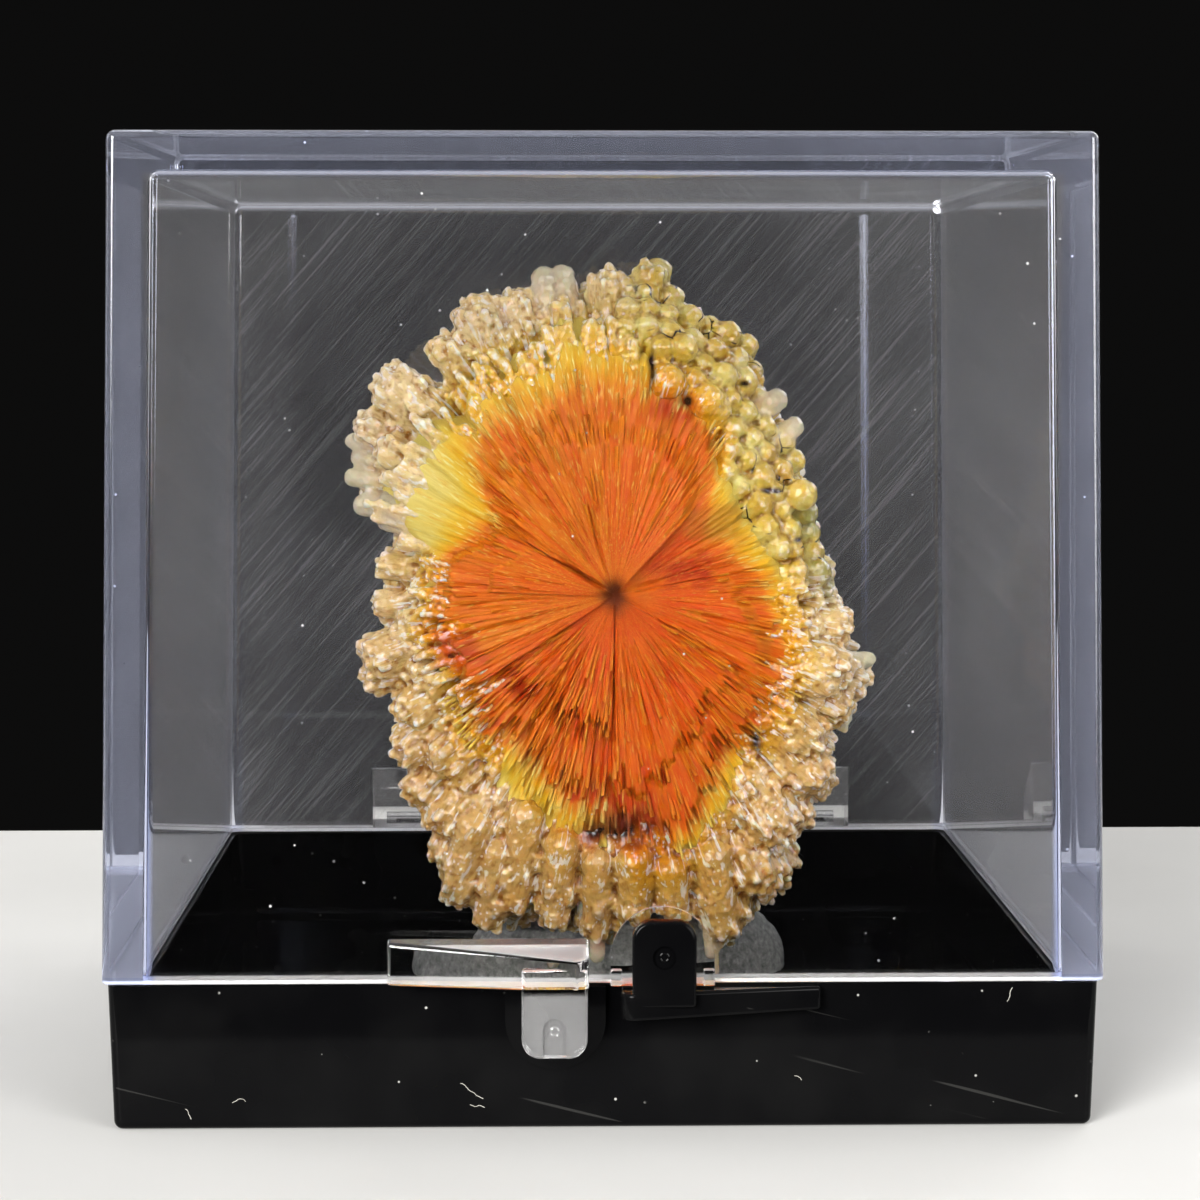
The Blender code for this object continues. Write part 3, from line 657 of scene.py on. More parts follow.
def build_base(material):
    """Make the black tray with its tab, prong, boss, hinge lugs and pins."""
    foot_half = BASE_HALF - BASE_TOP * BASE_DRAFT
    solid = tapered_block(foot_half, BASE_HALF, 0.0, BASE_TOP, EDGE_ROUND, BASE_TOP)
    base = new_object("base_tray", solid, material)
    above = BASE_TOP + 1.0
    low_half = foot_half + FLOOR * BASE_DRAFT - BASE_WALL
    high_half = BASE_HALF + (above - BASE_TOP) * BASE_DRAFT - BASE_WALL
    pocket = tapered_block(low_half, high_half, FLOOR, above, INSIDE_ROUND, above)
    combine(base, "DIFFERENCE", pocket)
    tab_low = BASE_TOP - BASE_TAB_HEIGHT
    combine(base, "UNION", thumb_tab(1, LID_HALF, lambda x, out: tab_low + BASE_TAB_RISE * x,
                                     lambda x, out: BASE_TOP))
    root = BASE_TOP - BASE_TAB_HEIGHT / 2
    combine(base, "UNION", prong(BASE_PRONG_X, root, BASE_PRONG_HIGH, LID_HALF))
    middle = sum(BASE_PRONG_X) / 2
    dimple = arc((middle, BASE_DIMPLE_Z), RECESS_WIDTH / 2, 0, 352, 44)
    face = -LID_HALF - PRONG_OUTER
    combine(base, "DIFFERENCE",
            front_plate(dimple, lambda z: face + RECESS_DEPTH, lambda z: face - OVERLAP))
    combine(base, "UNION", gate_mark(middle, BASE_DIMPLE_Z))
    combine(base, "UNION", boss(BASE_BOSS_X, BASE_TOP, BASE_BOSS_HEIGHT, -1, BASE_HALF))
    for span in LUG_SPANS:
        combine(base, "UNION", side_plate(lug_profile(), span))
        start = span[1] if outward(span) > 0 else span[0]
        ends = sorted((start - outward(span) * OVERLAP, start + outward(span) * PIN_LENGTH))
        combine(base, "UNION", rod(ends, PIN_RADIUS))
    smooth(base)
    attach(base, "base")
    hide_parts("base")
    return base


def build_lid(material):
    """Make the clear lid with its tab, prong, boss, stops and hinge ears."""
    top_half = LID_HALF - (LID_TOP - LID_RIM) * LID_DRAFT
    lid = new_object("lid_cover", tapered_block(LID_HALF, top_half, LID_RIM, LID_TOP, EDGE_ROUND,
                                                LID_RIM, RIM_ROUND), material)
    below = LID_RIM - 1.0
    cavity = tapered_block(LID_HALF + LID_DRAFT - LID_WALL, top_half - LID_WALL, below,
                           LID_TOP - LID_WALL, INSIDE_ROUND, below)
    combine(lid, "DIFFERENCE", cavity)
    tab = thumb_tab(-1, LID_HALF, lambda x, out: LID_RIM,
                    lambda x, out: LID_RIM + LID_TAB_HEIGHT - LID_TAB_SLOPE * out)
    combine(lid, "UNION", tab)
    root = LID_RIM + LID_TAB_HEIGHT / 2
    combine(lid, "UNION", prong(LID_PRONG_X, root, LID_PRONG_LOW, LID_HALF))
    middle = sum(LID_PRONG_X) / 2
    combine(lid, "DIFFERENCE", recess(middle, LID_PRONG_LOW - 0.2, LID_PRONG_LOW + 1.3, LID_HALF))
    combine(lid, "UNION", gate_mark(middle, LID_PRONG_LOW + 0.85))
    combine(lid, "UNION", boss(LID_BOSS_X, LID_RIM, LID_BOSS_HEIGHT, 1, LID_HALF))
    for x in (LID_BOSS_X[0], LID_BOSS_X[1] - STOP_SIZE[0]):
        stop = box((x, -LID_HALF - BOSS_THICK - 0.1, LID_RIM),
                   (x + STOP_SIZE[0], OVERLAP - LID_HALF, LID_RIM + STOP_SIZE[2]))
        combine(lid, "UNION", round_edges(stop, 0.06))
    for span in EAR_SPANS:
        combine(lid, "UNION", side_plate(ear_profile(), span))
        start = span[0] if outward(span) > 0 else span[1]
        ends = sorted((start - outward(span) * OVERLAP, start + outward(span) * HOLE_DEPTH))
        combine(lid, "DIFFERENCE", rod(ends, HOLE_RADIUS))
    smooth(lid)
    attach(lid, "lid")
    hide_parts("lid")
    return lid


def table_value(table, angle):
    """Read a table of angles and values, which closes on itself, at one or many angles."""
    places = [row[0] for row in table] + [table[0][0] + 360]
    values = [row[1] for row in table] + [table[0][1]]
    return np.interp(np.mod(angle, 360), places, values)


def polar(angle, radius, y):
    """Return a point at an angle and distance from the radiating centre."""
    turn = math.radians(angle)
    return np.array((CENTRE[0] + radius * math.cos(turn), y, CENTRE[2] + radius * math.sin(turn)))


def ball_template(detail):
    """Return the corners and triangles of a unit ball."""
    bm = bmesh.new()
    bmesh.ops.create_icosphere(bm, subdivisions=detail, radius=1.0)
    verts = np.array([vert.co for vert in bm.verts])
    faces = np.array([[vert.index for vert in face.verts] for face in bm.faces])
    bm.free()
    return verts, faces


def turned(axis):
    """Return the matrix that turns +Z to an axis, for rows of points."""
    return np.array(Vector(axis).to_track_quat("Z", "Y").to_matrix()).T


class Soup:
    """Overlapping closed shapes, kept as arrays in millimetres until they are fused."""

    def __init__(self):
        self.verts = []
        self.faces = []
        self.count = 0
        self.balls = {detail: ball_template(detail) for detail in (1, 2, 3)}

    def add(self, verts, faces):
        self.verts.append(verts)
        self.faces.append(faces + self.count)
        self.count += len(verts)

    def finger(self, start, end, start_radius, end_radius, detail=2):
        """Add a tapered finger with round ends."""
        ball, faces = self.balls[detail]
        upper = ball[:, 2:3] > 0
        middle = np.where(upper, end, start)
        radius = np.where(upper, end_radius, start_radius)
        self.add(middle + (ball * radius) @ turned(end - start), faces)

    def ball(self, middle, radius):
        """Add a fine ball."""
        ball, faces = self.balls[3]
        self.add(middle + ball * radius, faces)

    def mesh(self, name):
        mesh = bpy.data.meshes.new(name)
        verts = np.concatenate(self.verts) * MM
        faces = np.concatenate(self.faces)
        mesh.from_pydata(verts, [], faces.tolist())
        return mesh


def add_core(soup, steps=72):
    """Add the body that the fingers grow from."""
    points = [polar(0, 0, CORE[0][1])]
    for share, y in CORE[1:-1]:
        for i in range(steps):
            angle = i * 360 / steps
            points.append(polar(angle, share * table_value(OUTLINE, angle), y))
    points.append(polar(0, 0, CORE[-1][1]))
    last = len(points) - 1
    faces = []
    for i in range(steps):
        j = (i + 1) % steps
        faces.append((0, 1 + i, 1 + j))
        faces.append((last, last - steps + j, last - steps + i))
        for ring in range(len(CORE) - 3):
            a, b = 1 + ring * steps + i, 1 + ring * steps + j
            faces.append((a, a + steps, b + steps))
            faces.append((a, b + steps, b))
    soup.add(np.array(points), np.array(faces))


def in_sector(angle, sector):
    """Tell whether an angle is inside a sector."""
    return sector[0] <= angle % 360 <= sector[1]


def skin_points(rng, pitch):
    """Return angles, distances and depths spread evenly over the flanks and the back."""
    shares, depths = np.array(PROFILE).T
    steps = np.hypot(np.diff(shares) * MEAN_RADIUS, np.diff(depths))
    walked = np.concatenate(([0.0], np.cumsum(steps)))
    points = []
    for place in np.arange(0.0, walked[-1], pitch):
        share = np.interp(place, walked, shares)
        y = np.interp(place, walked, depths)
        count = max(3, round(share * MEAN_RADIUS * math.tau / pitch))
        offset = rng.uniform(0, 360)
        for i in range(count):
            angle = offset + (i + rng.uniform(-0.3, 0.3)) * 360 / count
            points.append((angle, share * table_value(OUTLINE, angle), y + rng.uniform(-0.15, 0.15)))
    return points


def add_knobs(soup, rng, start, end, radius, spacing=0.40):
    """Cover a lobe, except its root, with small rounded crystal tips."""
    axis = (end - start) / max(1e-6, np.linalg.norm(end - start))
    count = int(4 * math.pi * radius ** 2 / spacing ** 2)
    for i in range(count):
        height = 1 - 2 * (i + 0.5) / count
        turn = i * 2.39996
        flat = math.sqrt(1 - height ** 2)
        direction = np.array((flat * math.cos(turn), height, flat * math.sin(turn)))
        direction += np.array([rng.uniform(-0.15, 0.15) for _ in range(3)])
        if direction @ axis < -0.45:
            continue
        knob = spacing * rng.uniform(0.44, 0.62)
        along = 1.0 if direction @ axis > 0.3 else rng.uniform(0.2, 1.0)
        middle = start + (end - start) * along + direction * (radius + 0.1 * knob)
        soup.finger(middle - axis * 1.4 * knob, middle, knob * 0.85, knob, detail=1)


def front_part(fronts, x, z):
    """Return the piece of the crust's front that a place belongs to."""
    angle = math.degrees(math.atan2(z - CENTRE[2], x - CENTRE[0]))
    for name, start, end in CRUST_PARTS:
        if (angle - start) % 360 < end - start:
            return fronts[name]
    return fronts[CRUST_PARTS[0][0]]


def add_fingers(fronts, back, rng):
    """Cover the flanks and the back with bundles of thin fingers that radiate from the centre."""
    bundles = np.array([polar(*point) for point in skin_points(rng, BUNDLE_PITCH)])
    for pitch, thin, thick in ((FINGER_PITCH, 0.17, 0.31), (BACK_PITCH, 0.24, 0.38)):
        for angle, reach, y in skin_points(rng, pitch):
            ahead = y < CRUST_SPLIT
            if ahead != (pitch == FINGER_PITCH):
                continue
            if y < -1.5 and in_sector(angle, SMOOTH_SECTOR):
                continue
            if y < 0.3 and in_sector(angle, BALL_SECTOR):
                continue
            aside = np.linalg.norm(bundles - polar(angle, reach, y), axis=1).min()
            radius = rng.uniform(thin, thick)
            valley = 0.5 * min(1.0, (aside / 1.35) ** 2)
            tip = polar(angle, reach + 0.1 - radius - valley + rng.uniform(-0.14, 0.18), y)
            away = tip - CENTRE
            root = tip - away * (FINGER_LENGTH / np.linalg.norm(away))
            soup = front_part(fronts, tip[0], tip[2]) if ahead else back
            soup.finger(root, tip, radius * 0.85, radius, detail=1)


def add_balls(soup, rng):
    """Pack the upper right with balls, from the fan's edge to the outline."""
    distance = 4.6
    while distance < 12.0:
        angle = BALL_SECTOR[0] + rng.uniform(0, 5)
        while angle < BALL_SECTOR[1]:
            inner = table_value(FIELD_SHARE, angle) * table_value(OUTLINE, angle) - 0.3
            outer = table_value(OUTLINE, angle) - 0.35
            share = (distance - inner) / (outer - inner)
            if 0 <= share <= 1:
                size = rng.uniform(0.46, 0.62)
                y = -2.15 + 0.9 * share + 1.5 * share ** 3 + rng.uniform(-0.08, 0.08)
                middle = polar(angle, distance + rng.uniform(-0.12, 0.12), y)
                soup.finger(CENTRE + (middle - CENTRE) * 0.8, middle, size * 0.6, size)
            angle += math.degrees(BALL_PITCH / distance) * rng.uniform(0.85, 1.15)
        distance += BALL_PITCH * 0.86
    for x, y, z, size in BALLS:
        soup.ball(np.array((x, y, z)), size)


def mesh_arrays(mesh):
    """Return a mesh's corners and normals, and its edges, as arrays."""
    count = len(mesh.vertices)
    verts = np.empty(count * 3)
    mesh.vertices.foreach_get("co", verts)
    normals = np.empty(count * 3, dtype=np.float32)
    mesh.vertex_normals.foreach_get("vector", normals)
    edges = np.empty(len(mesh.edges) * 2, dtype=np.int32)
    mesh.edges.foreach_get("vertices", edges)
    return verts.reshape(-1, 3) / MM, normals.reshape(-1, 3), edges.reshape(-1, 2)


def spread(values, edges, rounds=1):
    """Average each corner's value with those of its neighbours."""
    count = len(values)
    ends = np.concatenate((edges[:, 0], edges[:, 1]))
    others = np.concatenate((edges[:, 1], edges[:, 0]))
    degree = np.maximum(1, np.bincount(ends, minlength=count))
    for _ in range(rounds):
        total = np.bincount(ends, weights=values[others], minlength=count)
        values = 0.5 * values + 0.5 * total / degree
    return values


def hollowness(verts, normals, edges, rounds=3):
    """Return how far each corner lies below its neighbours, in millimetres."""
    wide = np.stack([spread(verts[:, k], edges, rounds) for k in range(3)], axis=1)
    return ((wide - verts) * normals).sum(axis=1)


def set_attribute(mesh, name, values):
    """Store one number for each corner of a mesh."""
    layer = mesh.attributes.new(name, "FLOAT", "POINT")
    layer.data.foreach_set("value", np.asarray(values, dtype=np.float32))


def outward_share(verts, radius, angle):
    """Return how far out corners lie: 1 at the fan's edge, and more in the amber and behind."""
    reach = radius / table_value(FAN_EDGE, angle)
    width = table_value(AMBER_WIDTH, angle)
    beyond = reach - 1.0
    outer = 1.0 + 0.6 * np.minimum(1.0, beyond / width) + 0.3 * np.clip(beyond - width, 0, 1)
    reach = np.where(beyond > 0, outer, reach)
    behind = np.clip((verts[:, 1] + 1.7) / 2.2, 0, 1)
    return np.where(behind > 0, np.maximum(reach, 1.0 + 0.75 * behind), reach)


def mark_spots(mesh, verts):
    """Store the dark spots, which are painted shade of pits and a deep recess, and the red and cool
    spots on the front of a mesh.
    """
    sway = np.array([noise.noise(Vector(v) * 1.7) for v in verts])
    front = np.clip((0.5 - verts[:, 1]) / 0.8, 0, 1)
    spots = {kind: np.zeros(len(verts)) for kind in ("dark", "red", "cool")}
    for kind, x, z, half_x, half_z in SPOTS:
        gap = np.hypot((verts[:, 0] - x) / half_x, (verts[:, 2] - z) / half_z) + 0.7 * sway
        spots[kind] = np.maximum(spots[kind], front * np.clip(1.5 - gap, 0, 1))
    for kind, values in spots.items():
        set_attribute(mesh, kind, values)


def mark_pods(mesh, verts):
    """Store where the glassy fingers are."""
    glassy = np.zeros(len(verts))
    for start, end, size in PODS:
        start = np.array(start)
        axis = np.array(end) - start
        along = np.clip((verts - start) @ axis / (axis @ axis), 0, 1)
        gap = np.linalg.norm(verts - start - along[:, None] * axis, axis=1)
        glassy = np.maximum(glassy, np.clip((size + 0.25 - gap) / 0.2, 0, 1) * along)
    set_attribute(mesh, "glassy", glassy)


def mark_specimen(mesh, hollow_scale):
    """Store what the material needs at each corner: how far out it is, its hollows and its spots."""
    verts, normals, edges = mesh_arrays(mesh)
    away = verts - CENTRE
    angle = np.degrees(np.arctan2(away[:, 2], away[:, 0]))
    reach = outward_share(verts, np.hypot(away[:, 0], away[:, 2]), angle)
    turn = np.mod(angle, 360)
    ball = np.clip((turn - 2) / 6, 0, 1) * np.clip((94 - turn) / 10, 0, 1)
    hollow = hollowness(verts, normals, edges)
    set_attribute(mesh, "reach", reach)
    set_attribute(mesh, "ball", ball * np.clip((reach - 1.15) / 0.2, 0, 1))
    set_attribute(mesh, "hollow", np.clip(hollow / hollow_scale, -1, 1))
    mark_spots(mesh, verts)
    mark_pods(mesh, verts)


def finish_specimen_piece(obj):
    """Attach a piece of the specimen to the tray's body."""
    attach(obj, "base")
    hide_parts("specimen")


def fused(name, soup, voxel, material):
    """Fuse a soup of closed shapes into one skin, roughen it a little and mark it."""
    obj = linked(name, soup.mesh(name))
    fuse = obj.modifiers.new("fuse", "REMESH")
    fuse.mode = "VOXEL"
    fuse.voxel_size = voxel * MM
    even = obj.modifiers.new("even", "SMOOTH")
    even.factor = 0.2
    even.iterations = 1
    apply_modifiers(obj)
    mesh = obj.data
    verts, normals, edges = mesh_arrays(mesh)
    lift = np.array([noise.noise(Vector(v) * 2.3) * 0.04 + noise.noise(Vector(v) * 6.0) * 0.03
                     for v in verts])
    mesh.vertices.foreach_set("co", ((verts + normals * lift[:, None]) * MM).ravel())
    mesh.update()
    mark_specimen(mesh, CRUST_HOLLOW)
    mesh.materials.clear()
    mesh.materials.append(material)
    mesh.shade_smooth()
    finish_specimen_piece(obj)
    return obj


def add_border(fronts, rng):
    """Break up the border of the broken face with short fingers that lie on it."""
    angle = BALL_SECTOR[1] - 4
    while angle < 360 + BALL_SECTOR[0]:
        reach = float(field_reach(angle))
        tip_reach = reach + rng.uniform(-0.9, 0.25)
        root_reach = tip_reach - rng.uniform(0.9, 1.4)
        places = np.array([root_reach, min(tip_reach, reach - 0.5)])
        levels = fan_relief(np.array([angle, angle]), places)
        radius = rng.uniform(0.13, 0.27)
        root = polar(angle, root_reach, float(levels[0]) + 0.7 * radius)
        tip = polar(angle + rng.uniform(-2, 2), tip_reach, float(levels[1]) + 0.3 * radius)
        front_part(fronts, tip[0], tip[2]).finger(root, tip, radius * 0.7, radius, detail=1)
        angle += math.degrees(rng.uniform(0.16, 0.34) / reach)


def build_crust(material):
    """Make the crust of fingers, knobs and balls: a fine front in parts and a coarser back."""
    rng = random.Random(41)
    fronts = {name: Soup() for name, _, _ in CRUST_PARTS}
    back = Soup()
    add_core(back)
    add_fingers(fronts, back, random.Random(32))
    add_balls(fronts[CRUST_PARTS[-1][0]], random.Random(33))
    add_border(fronts, random.Random(34))
    for start, end, radius in PODS:
        soup = front_part(fronts, end[0], end[2])
        soup.finger(np.array(start), np.array(end), radius, radius, detail=3)
    for start, end, radius in ARCHES:
        first, last = np.array(start), np.array(end)
        soup = front_part(fronts, end[0], end[2])
        soup.finger(first, last, radius, radius * 0.9, detail=3)
        add_knobs(soup, rng, first + (last - first) * 0.5, last, radius * 0.9, 0.42)
    for x, y, z, radius in LOBES:
        tip = np.array((x, y, z))
        away = (tip - CENTRE) / np.linalg.norm(tip - CENTRE)
        root = tip - away * LOBE_LENGTH
        soup = front_part(fronts, x, z)
        soup.finger(root, tip, radius * 0.8, radius * 0.9, detail=3)
        add_knobs(soup, rng, root, tip, radius * 0.88)
    for name, soup in fronts.items():
        fused(name, soup, CRUST_VOXEL, material)
    fused("crust_back", back, BACK_VOXEL, material)


def ripple(rng, count, angle):
    """Return a random wave round the circle, read at many angles."""
    values = [rng.uniform(-1, 1) for _ in range(count)]
    places = [i * 360 / count for i in range(count)]
    return np.interp(np.mod(angle, 360), places + [360], values + [values[0]])


def field_reach(angle):
    """Return how far the broken face reaches at many angles, with its ragged border."""
    reach = table_value(FIELD_SHARE, angle) * table_value(OUTLINE, angle)
    wide = 0.22 * ripple(random.Random(67), 60, angle)
    return reach + wide + 0.16 * ripple(random.Random(68), 220, angle)


def blocky(rng, width, angle):
    """Return a random value that jumps from one bundle of needles to the next."""
    borders = [0.0]
    while borders[-1] < 360:
        borders.append(borders[-1] + width * rng.uniform(0.4, 1.6))
    values = np.array([rng.uniform(-1, 1) for _ in borders])
    return values[np.searchsorted(borders, np.mod(angle, 360), side="right") - 1]


def fan_relief(angle, radius):
    """Return the y of the broken face at arrays of angles and radii."""
    rng = random.Random(57)
    edge = table_value(FAN_EDGE, angle)
    height = np.broadcast_to(table_value(OUTER_LIFT, angle), radius.shape)
    for start, end, share, lift, ragged, fall in SHEETS:
        rim = share * edge + ragged * (0.6 * blocky(rng, 1.0, angle) + 0.4 * blocky(rng, 4.5, angle))
        turn = np.mod(angle - start, 360)
        inside = np.where(turn <= end - start, np.clip((rim - radius) / fall, 0, 1), 0.0)
        height = np.maximum(height, lift * inside)
    inner = np.clip(radius / 1.2, 0, 1)
    height = 0.85 + (height - 0.85) * inner
    turn = np.mod(angle, 360)
    torn = 0.4 + 0.6 * ((turn > TORN_SECTOR[0]) & (turn < TORN_SECTOR[1]))
    for width, size in TORN_STEPS:
        place = 4.8 + 3.2 * blocky(rng, width, angle)
        step = size * (0.6 + 0.4 * blocky(rng, width, angle)) * torn
        height = height - step * np.clip((radius - place) / 0.08, 0, 1)
    grow = np.clip(radius / 4.0, 0.0, 1.2)
    for count, size in RIPPLES:
        height = height + size * grow * ripple(rng, count, angle + 0.25 * np.sin(radius * 1.7))
    for place, start, end, half, depth in SEAMS:
        bent = place + 1.6 * np.sin(radius * 0.9 + place)
        aside = np.radians(np.mod(angle - bent + 180, 360) - 180) * radius
        along = np.clip((radius - start) / 0.4, 0, 1) * np.clip((end - radius) / 0.8, 0, 1)
        height = height - depth * along * np.exp(-(aside / half) ** 2)
    level = np.interp(radius / table_value(OUTLINE, angle), *zip(*FACE_LEVEL))
    pit = 0.30 * np.exp(-(radius / 0.45) ** 2)
    return level + pit - height


def build_fan(material, angles=900, radii=100):
    """Make the broken face: torn sheets of needles that radiate from the centre."""
    angle = np.arange(angles) * 360 / angles
    reach = field_reach(angle)
    share = (np.arange(1, radii + 1) / radii)[None, :]
    radius = reach[:, None] * share
    grid_angle = np.repeat(angle[:, None], radii, axis=1)
    level = fan_relief(grid_angle, radius)
    level = level + 1.3 * np.clip((share - 0.86) / 0.14, 0, 1) ** 2
    level[:, -1] = FAN_BACK
    turn = np.radians(grid_angle)
    points = np.stack((CENTRE[0] + radius * np.cos(turn), level, CENTRE[2] + radius * np.sin(turn)),
                      axis=2).reshape(-1, 3)
    front = np.array([polar(0, 0, float(fan_relief(np.array([0.0]), np.array([0.0]))[0]))])
    back = np.array([polar(0, 0, FAN_BACK)])
    verts = np.concatenate((points, front, back))
    first, last = len(points), len(points) + 1
    faces = []
    for i in range(angles):
        a = i * radii
        b = ((i + 1) % angles) * radii
        faces.append((first, a, b))
        faces.append((last, b + radii - 1, a + radii - 1))
        faces.extend((a + k, a + k + 1, b + k + 1, b + k) for k in range(radii - 1))
    mesh = bpy.data.meshes.new("fan")
    mesh.from_pydata(verts * MM, [], faces)
    fan = linked("fan", mesh)
    mesh.update()
    mark_specimen(mesh, FACE_HOLLOW)
    # Steep drops in the face are marked as torn ends, which the material paints paler, partly as
    # painted highlight.
    drop = np.diff(level, axis=1, prepend=level[:, :1]) / np.diff(radius, axis=1, prepend=0.0)
    ends = np.clip(drop / 1.2, 0, 1)
    ends[:, -2:] = 0
    rng = random.Random(61)
    tone = table_value(FAN_TONE, angle) + 0.10 * blocky(rng, 9.0, angle)
    tone = tone + 0.09 * blocky(rng, 3.0, angle) + 0.08 * blocky(rng, 1.1, angle)
    set_attribute(mesh, "ends", np.append(ends, (0, 0)))
    set_attribute(mesh, "tone", np.append(np.repeat(tone, radii), (0.5, 0.5)))
    mesh.materials.append(material)
    mesh.shade_smooth()
    mesh.set_sharp_from_angle(angle=BROKEN_ANGLE)
    finish_specimen_piece(fan)
    return fan


def splinter_angle(rng):
    """Pick an angle, with more in the sectors that are torn most."""
    pick = rng.uniform(0, sum(share for _, _, share in SPLINTER_SECTORS))
    for start, end, share in SPLINTER_SECTORS:
        pick -= share
        if pick <= 0:
            break
    return rng.uniform(start, end)


def add_splinter(soup, start, end, width, slant):
    """Add a six-sided needle with a slanting end."""
    axis = Vector(end - start)
    ring = [(width * math.cos(k * math.tau / 6), 0.7 * width * math.sin(k * math.tau / 6))
            for k in range(6)]
    local = [(x, y, 0.0) for x, y in ring] + [(x, y, axis.length + x * slant) for x, y in ring]
    faces = [(0, k + 2, k + 1) for k in range(4)] + [(6, k + 7, k + 8) for k in range(4)]
    for k in range(6):
        j = (k + 1) % 6
        faces += [(k, j, j + 6), (k, j + 6, k + 6)]
    soup.add(start + np.array(local) @ turned(axis), np.array(faces))


def build_splinters(material):
    """Make the loose needle ends that stand out of the broken face and along its torn rim."""
    rng = random.Random(83)
    soup = Soup()
    for _ in range(SPLINTERS):
        angle = splinter_angle(rng)
        edge = float(table_value(FAN_EDGE, angle))
        place = edge * (rng.uniform(0.86, 1.14) if rng.random() < 0.6 else rng.uniform(0.35, 1.0))
        length = rng.uniform(0.35, 1.3)
        width = rng.uniform(0.035, 0.085)
        level = float(fan_relief(np.array([angle]), np.array([place - length / 2]))[0])
        lean = rng.uniform(-5, 5)
        start = polar(angle, max(0.6, place - length), level + width * 0.4)
        end = polar(angle + lean * length / place, place, level - rng.uniform(0.0, 0.10))
        add_splinter(soup, start, end, width, rng.uniform(-0.8, 0.8))
    mesh = soup.mesh("splinters")
    splinters = linked("splinters", mesh)
    mesh.update()
    mark_specimen(mesh, FACE_HOLLOW)
    tones = [rng.uniform(0.35, 0.85) for _ in range(SPLINTERS)]
    set_attribute(mesh, "tone", np.repeat(tones, 12))
    # The slanted ends are marked for the same paler colour, partly painted highlight.
    set_attribute(mesh, "ends", np.tile([0.0] * 6 + [0.9] * 6, SPLINTERS))
    mesh.materials.append(material)
    finish_specimen_piece(splinters)
    return splinters


def build_lint(material):
    """Lay a few short fibres on the front of the tray."""
    rng = random.Random(19)
    fibres = bpy.data.curves.new("lint", "CURVE")
    fibres.dimensions = "3D"
    fibres.bevel_depth = 0.012 * MM
    fibres.bevel_resolution = 2
    for x, z, length in LINT:
        line = fibres.splines.new("POLY")
        line.points.add(13)
        angle = rng.uniform(-0.5, 0.5)
        for k, point in enumerate(line.points):
            depth = -(BASE_HALF - (BASE_TOP - z) * BASE_DRAFT) - 0.015
            point.co = (x * MM, depth * MM, z * MM, 1.0)
            angle += rng.uniform(-0.45, 0.45)
            x += length / 13 * math.cos(angle)
            z = max(0.3, z + length / 13 * math.sin(angle))
    lint = linked("lint", fibres)
    graph = bpy.context.evaluated_depsgraph_get()
    mesh = bpy.data.meshes.new_from_object(lint.evaluated_get(graph))
    bpy.data.objects.remove(lint)
    lint = linked("lint", mesh)
    mesh.materials.clear()
    mesh.materials.append(material)
    mesh.shade_smooth()
    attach(lint, "base")
    return lint


def lint_fibre():
    """Return pale dusty fibre."""
    nodes = material_nodes("lint_fibre")
    tone = nodes.noise(nodes.place(), 3.0)
    colour = nodes.ramp(tone, ((0.3, srgb(120, 118, 110)), (0.7, srgb(176, 174, 166))))
    return nodes.set(Base_Color=colour, Roughness=0.9)


def build_putty(material):
    """Make the grainy lump of putty."""
    bm = bmesh.new()
    verts = bmesh.ops.create_icosphere(bm, subdivisions=6, radius=1.0)["verts"]
    bottom = FLOOR + PUTTY_LIFT
    for vert in verts:
        direction = vert.co.copy()
        swell = 1 + 0.03 * noise.noise(direction * 2.2) + 0.012 * noise.noise(direction * 14)
        vert.co = Vector((PUTTY_CENTRE[0] + direction.x * PUTTY_SIZE[0] * swell,
                          PUTTY_CENTRE[1] + direction.y * PUTTY_SIZE[1] * swell,
                          bottom + direction.z * PUTTY_SIZE[2] * swell))
    cut = bmesh.ops.bisect_plane(bm, geom=bm.verts[:] + bm.edges[:] + bm.faces[:], dist=1e-5,
                                 plane_co=(0, 0, bottom), plane_no=(0, 0, -1), clear_outer=True)
    edges = [part for part in cut["geom_cut"] if isinstance(part, bmesh.types.BMEdge)]
    bmesh.ops.holes_fill(bm, edges=edges, sides=0)
    putty = new_object("putty_lump", bm, material)
    putty.data.shade_smooth()
    putty.data.set_sharp_from_angle(angle=BROKEN_ANGLE)
    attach(putty, "base")
    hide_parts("putty")
    return putty


def streaks(nodes, place, turn, along, across):
    """Return noise drawn out into parallel lines, for scratches."""
    mapping = nodes.add("ShaderNodeMapping", vector_type="TEXTURE")
    nodes.feed(mapping.inputs["Vector"], place)
    mapping.inputs["Rotation"].default_value = turn
    mapping.inputs["Scale"].default_value = (1 / along, 1 / across, 1 / across)
    return nodes.noise(mapping.outputs[0], 1.0, detail=1.0)


